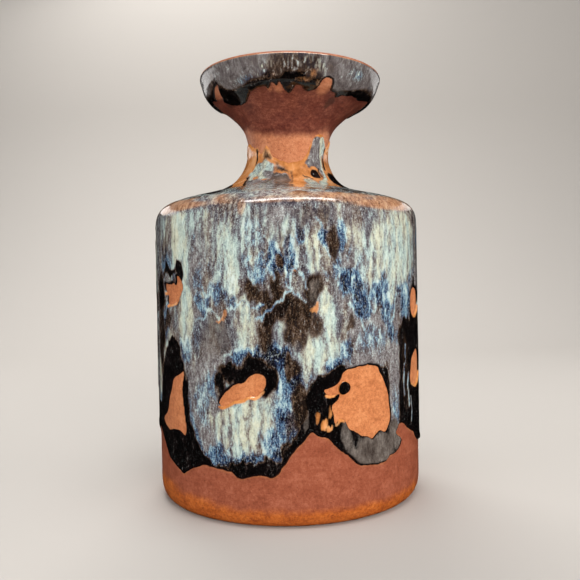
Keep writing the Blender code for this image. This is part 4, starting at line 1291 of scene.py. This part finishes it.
# Painted shade: the clay is lightest at these degrees, the side the light falls on, and darker by this
# share of the cosine away from them
PAINTED_LIT_DEGREES = 32.0
PAINTED_SHADE_SHARE = 0.27
# The foot band's tones end below the first of these heights, the mouth's start above the last, and
# the inside takes the plain tones of the one between
FOOT_BAND_END = 60.0
PLAIN_UP = 70.0
MOUTH_TONES_START = 150.0


def clay_masks(degrees, up, radius=None):
    """The clay's tones: deep on the foot band and under the mouth, and deeper away from the lit side as
    painted shade; warm on the foot's round, darkened there as painted shade, and on the lip.
    """
    band = band_distance(degrees, up, LOWER_EDGE, WALL_RADIUS)
    patchy = 5.0 * uneven(degrees, up, 30, 7.0, 131)
    flashing = above_edge(degrees, up, MAROON_EDGE, 99)
    # Painted shade: darker away from the lit side, carried in the deep layer
    painted_shade = PAINTED_SHADE_SHARE * (1.0 - np.cos(np.radians(degrees - PAINTED_LIT_DEGREES)))
    lip = smoothstep(*LIP_BREAK, up)
    under_mouth = smoothstep(-2.2, 1.4, flashing) * (1 - lip)
    under_mouth *= 1.0 - 0.8 * lay_patches(degrees, up, ORANGE_NOTCHES)
    below, above = up < FOOT_BAND_END, up > MOUTH_TONES_START
    deep = np.maximum(smoothstep(0.6, -0.6, band) * below, under_mouth)
    masks = {"deep": np.maximum(np.maximum(deep, painted_shade), 0.62 * lip)}
    # The foot's round, reaching higher on the left side; its ramp is darkened as painted shade
    left_side = smoothstep(-15.0, -60.0, angle_from(degrees, 0.0))
    masks["warm"] = smoothstep(10.5, 0.5, up + 0.5 * patchy - 3.5 * left_side) * 0.9
    along_edge = 0.45 * np.exp(-np.abs(band) / 0.9) * below
    rough_degrees = degrees + 8.0 * uneven(degrees, up, 60, 4.0, 133)
    drips = 0.9 * lay_patches(rough_degrees, up, DARK_DRIPS) * above
    # A darker line just above the maroon edge
    dark_line_above_maroon = 0.42 * np.exp(-((flashing - 1.6) / 0.9) ** 2) * above
    masks["scorch"] = np.maximum(np.maximum(along_edge, drips), dark_line_above_maroon)
    masks["flow"] = flow_layer(degrees, up, radius)
    return masks


def add_clay(name, low, high, step, inside, looks, pole=None):
    """A thrown section of clay: the skin between two heights, closed by its inside from the top down."""
    degrees, up = make_grid(low, high, step)
    outer = skin(degrees, up, clay_relief(degrees, up))
    inner = np.concatenate([outer[-1:], turned_rows(inside, degrees)] + ([] if pole else [outer[:1]]))
    inner_degrees = np.repeat(degrees[:1], len(inner), axis=0)
    inner_up = np.full(inner_degrees.shape, PLAIN_UP)
    inner_masks = clay_masks(inner_degrees, inner_up, np.hypot(inner[..., 0], inner[..., 1]))
    inner_masks["flow"] = inner.copy()
    made = add_turned(name, [(outer, clay_masks(degrees, up)), (inner, inner_masks)], looks)
    if pole:
        close_poles(made.data, *pole)
    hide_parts(name.replace("thrown_", ""))
    return made


# The radius of the wall's inside
WALL_INSIDE = 44.6


def make_clay():
    wall = clay_look("bare_stoneware", BRIGHT_STOPS, BAND_AND_SHEEN_STOPS, 0.74, 0.40)
    foot = clay_look("foot_stoneware", BRIGHT_STOPS, BAND_AND_SHEEN_STOPS, 0.74, 0.42)
    upper = clay_look("mouth_stoneware", NECK_STOPS, MOUTH_STOPS, 0.60, 0.34)
    foot_inside = [(WALL_INSIDE, FOOT_TOP), (20.0, FOOT_TOP), (0.0, FOOT_TOP)]
    poles = [(0, 0, 0), (0, 0, FOOT_TOP)]
    made = add_clay("thrown_foot_disc", BOTTOM_UP, FOOT_TOP, 0.7, foot_inside, foot, poles)
    wall_inside = [(WALL_INSIDE, SHOULDER_START), (WALL_INSIDE, FOOT_TOP)]
    made = add_clay("thrown_body_wall", FOOT_TOP, SHOULDER_START, 0.7, wall_inside, wall)
    shoulder_inside = [
        (12.2, 114.9), (12.2, 110.6), (19.0, 109.4), (30.5, 106.6), (40.6, 103.9), (43.6, 102.0),
        (WALL_INSIDE, SHOULDER_START),
    ]
    made = add_clay("thrown_shoulder", SHOULDER_START, NECK_FOOT, 0.7, shoulder_inside, wall)
    made = add_clay("thrown_neck", NECK_FOOT, NECK_TOP, 0.5, BORE[::-1], upper)
    made = add_clay("thrown_mouth_bowl", NECK_TOP, TOP_UP, 0.4, smooth_curve(CUP, 6)[::-1], upper)


# The neck's bore, the mouth's cup and the body's inside as (radius, height), from the bottom up
BORE = [(12.2, 114.9), (11.5, 119.5), (11.1, 126.0), (11.5, 133.0), (13.1, 139.0)]
CUP = [(13.1, 139.2), (15.4, 141.8), (19.2, 144.6), (24.0, 147.6), (28.4, 150.3), (31.2, 153.2)]
CUP_TOP = [(32.5, 155.6), (32.8, 156.4)]
BODY_INSIDE = [
    (0.0, 7.7), (20.0, 7.7), (38.0, 7.9), (42.6, 9.0), (44.4, 12.5), (44.5, 30.0), (44.5, 60.0),
    (44.5, 99.0), (43.5, 101.9), (40.5, 103.7), (30.5, 106.4), (19.0, 109.2),
]
LINER_COAT = 0.5


def make_liners():
    degrees, _ = make_grid(0.0, 1.0, 0.5)
    bore = smooth_curve([(12.2, 111.0)] + BORE[1:-1] + [(13.1, 139.0)] + CUP[1:] + CUP_TOP, 12)[::-1]
    along = np.gradient(bore, axis=0)
    along /= np.linalg.norm(along, axis=1, keepdims=True)
    reach = np.r_[0.0, np.cumsum(np.linalg.norm(np.diff(bore, axis=0), axis=1))]
    coat = LINER_COAT * rounded_edge(reach, 1.4)
    surface = bore + np.stack([along[:, 1], -along[:, 0]], axis=-1) * coat[:, None]
    points = turned_rows(surface, degrees)
    around = np.repeat(degrees[:1], len(surface), axis=0)
    inward = TOP_UP + np.repeat(reach[:, None], degrees.shape[1], axis=1)
    streaks = layered(around, BOTTOM_UP + 0.3 * (inward - TOP_UP), 70, 2.5, 141)
    masks = no_masks(inward)
    depth = inward - TOP_UP
    masks["rust"] = 1.1 * smoothstep(2.2, 0.2, depth)
    cream = smoothstep(0.42, 0.75, streaks) * smoothstep(1.5, 6.0, depth)
    masks["cream"] = cream * (1 - smoothstep(20.0, 32.0, depth))
    blue = 0.7 * smoothstep(0.4, 0.7, 1 - streaks) * smoothstep(8.0, 20.0, depth)
    masks["blue"] = blue * (1 - smoothstep(26.0, 36.0, depth))
    masks["dark"] = 0.25 + 0.75 * smoothstep(18.0, 34.0, depth)
    masks["flow"] = flow_layer(around, inward, np.hypot(points[..., 0], points[..., 1]))
    liner = add_turned("mouth_liner", [(points, masks)], glaze_look("mouth_liner_glaze", stretch=0.3))
    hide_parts("mouth_liner_glaze")

    coarse = degrees[:, ::8]
    inside = smooth_curve(BODY_INSIDE, 6)[::-1]
    points = turned_rows(inside, coarse)
    masks = no_masks(points[..., 0])
    masks["dark"] += 1.0
    masks["flow"] = points.copy()
    liner = add_turned("body_liner", [(points, masks)], glaze_look("body_liner_coat"))
    close_poles(liner.data, (0, 0, BODY_INSIDE[0][1]))
    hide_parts("body_liner_glaze")


# ---------------------------------------------------------------- studio

def make_floor():
    """A pale floor that curves up into a plain wall."""
    reach, back, bend, top = 2.4, 0.45, 0.35, 2.6
    turns = np.linspace(0.1, math.pi / 2, 16)
    path = [(-reach, 0.0), (back, 0.0)]
    path += [(back + bend * math.sin(turn), bend * (1 - math.cos(turn))) for turn in turns]
    path += [(back + bend, top)]
    mesh = bpy.data.meshes.new("floor")
    points = [(side * reach, y, z) for y, z in path for side in (-1, 1)]
    faces = [(2 * i, 2 * i + 1, 2 * i + 3, 2 * i + 2) for i in range(len(path) - 1)]
    mesh.from_pydata(points, [], faces)
    mesh.shade_smooth()
    paper = bpy.data.materials.new("studio_paper")
    paper.use_nodes = True
    shader = paper.node_tree.nodes["Principled BSDF"]
    shader.inputs["Base Color"].default_value = (0.50, 0.475, 0.445, 1.0)
    shader.inputs["Roughness"].default_value = 0.9
    shader.inputs["Specular IOR Level"].default_value = 0.1
    mesh.materials.append(paper)
    floor = bpy.data.objects.new("floor", mesh)
    bpy.context.scene.collection.objects.link(floor)
    floor.visible_glossy = False


def softbox(name, place, size, power, colour=(1.0, 0.98, 0.96), shows="diffuse", aim=(0.0, 0.0, 0.08)):
    """A lamp that lights the vase, or with shows="glossy" one that is only reflected in it."""
    light = bpy.data.lights.new(name, "AREA")
    light.shape = "RECTANGLE"
    light.size, light.size_y = size
    light.energy = power
    light.color = colour
    lamp = bpy.data.objects.new(name, light)
    lamp.location = place
    lamp.rotation_euler = (Vector(aim) - Vector(place)).to_track_quat("-Z", "Y").to_euler()
    lamp.visible_camera = False
    lamp.visible_glossy = shows == "glossy"
    lamp.visible_diffuse = shows == "diffuse"
    bpy.context.scene.collection.objects.link(lamp)


def make_lights():
    softbox("front_fill", (0.25, -1.1, 0.45), (0.8, 0.5), 10.0)
    softbox("left_window", (-0.60, -0.20, 0.30), (0.70, 0.50), 1.1, (0.95, 0.97, 1.0))
    softbox("right_window", (0.62, -0.20, 0.30), (0.66, 0.50), 1.5)
    softbox("ceiling", (0.05, -0.20, 0.90), (0.60, 0.50), 4.5)
    softbox("back_fill", (-0.15, 0.66, 0.75), (0.60, 0.40), 7.0)
    softbox("ceiling_strip", (0.04, -0.27, 0.90), (0.90, 0.16), 8.0, shows="glossy")
    softbox("left_card", (-0.165, 0.10, 0.168), (0.16, 0.036), 0.042, shows="glossy", aim=(0.0, 0.0, 0.168))
    softbox("right_card", (0.165, 0.10, 0.168), (0.16, 0.036), 0.028, shows="glossy", aim=(0.0, 0.0, 0.168))
    world = bpy.data.worlds.new("room")
    world.use_nodes = True
    background = world.node_tree.nodes["Background"]
    background.inputs["Color"].default_value = (0.96, 0.97, 1.0, 1.0)
    background.inputs["Strength"].default_value = 0.16
    world.cycles_visibility.glossy = False
    bpy.context.scene.world = world


CAMERA_PLACE = (0.0, -0.26106, 0.0797)
CAMERA_PITCH = math.radians(0.85)
CAMERA_ROLL = math.radians(1.08)
CAMERA_LENS = 41.543
CAMERA_SHIFT = 0.0052


def set_colours():
    """Shows colours as they are, without a film curve."""
    bpy.context.scene.view_settings.view_transform = "Standard"
    bpy.context.scene.view_settings.look = "None"


def make_camera():
    camera = bpy.data.cameras.new("camera")
    camera.sensor_width = 36.0
    camera.lens = CAMERA_LENS
    camera.shift_x = CAMERA_SHIFT
    camera.clip_start = 0.01
    holder = bpy.data.objects.new("camera", camera)
    bpy.context.scene.collection.objects.link(holder)
    forward = Vector((0.0, math.cos(CAMERA_PITCH), -math.sin(CAMERA_PITCH)))
    level_up = Vector((0.0, math.sin(CAMERA_PITCH), math.cos(CAMERA_PITCH)))
    level_right = Vector((1.0, 0.0, 0.0))
    right = level_right * math.cos(CAMERA_ROLL) - level_up * math.sin(CAMERA_ROLL)
    above = level_right * math.sin(CAMERA_ROLL) + level_up * math.cos(CAMERA_ROLL)
    axes = Matrix((right, above, -forward)).transposed().to_4x4()
    holder.matrix_world = Matrix.Translation(Vector(CAMERA_PLACE)) @ axes
    bpy.context.scene.camera = holder


make_clay()
make_liners()
make_body_glaze()
make_upper_glaze()
make_mouth_glaze()
make_drop()
make_floor()
make_lights()
make_camera()
set_colours()
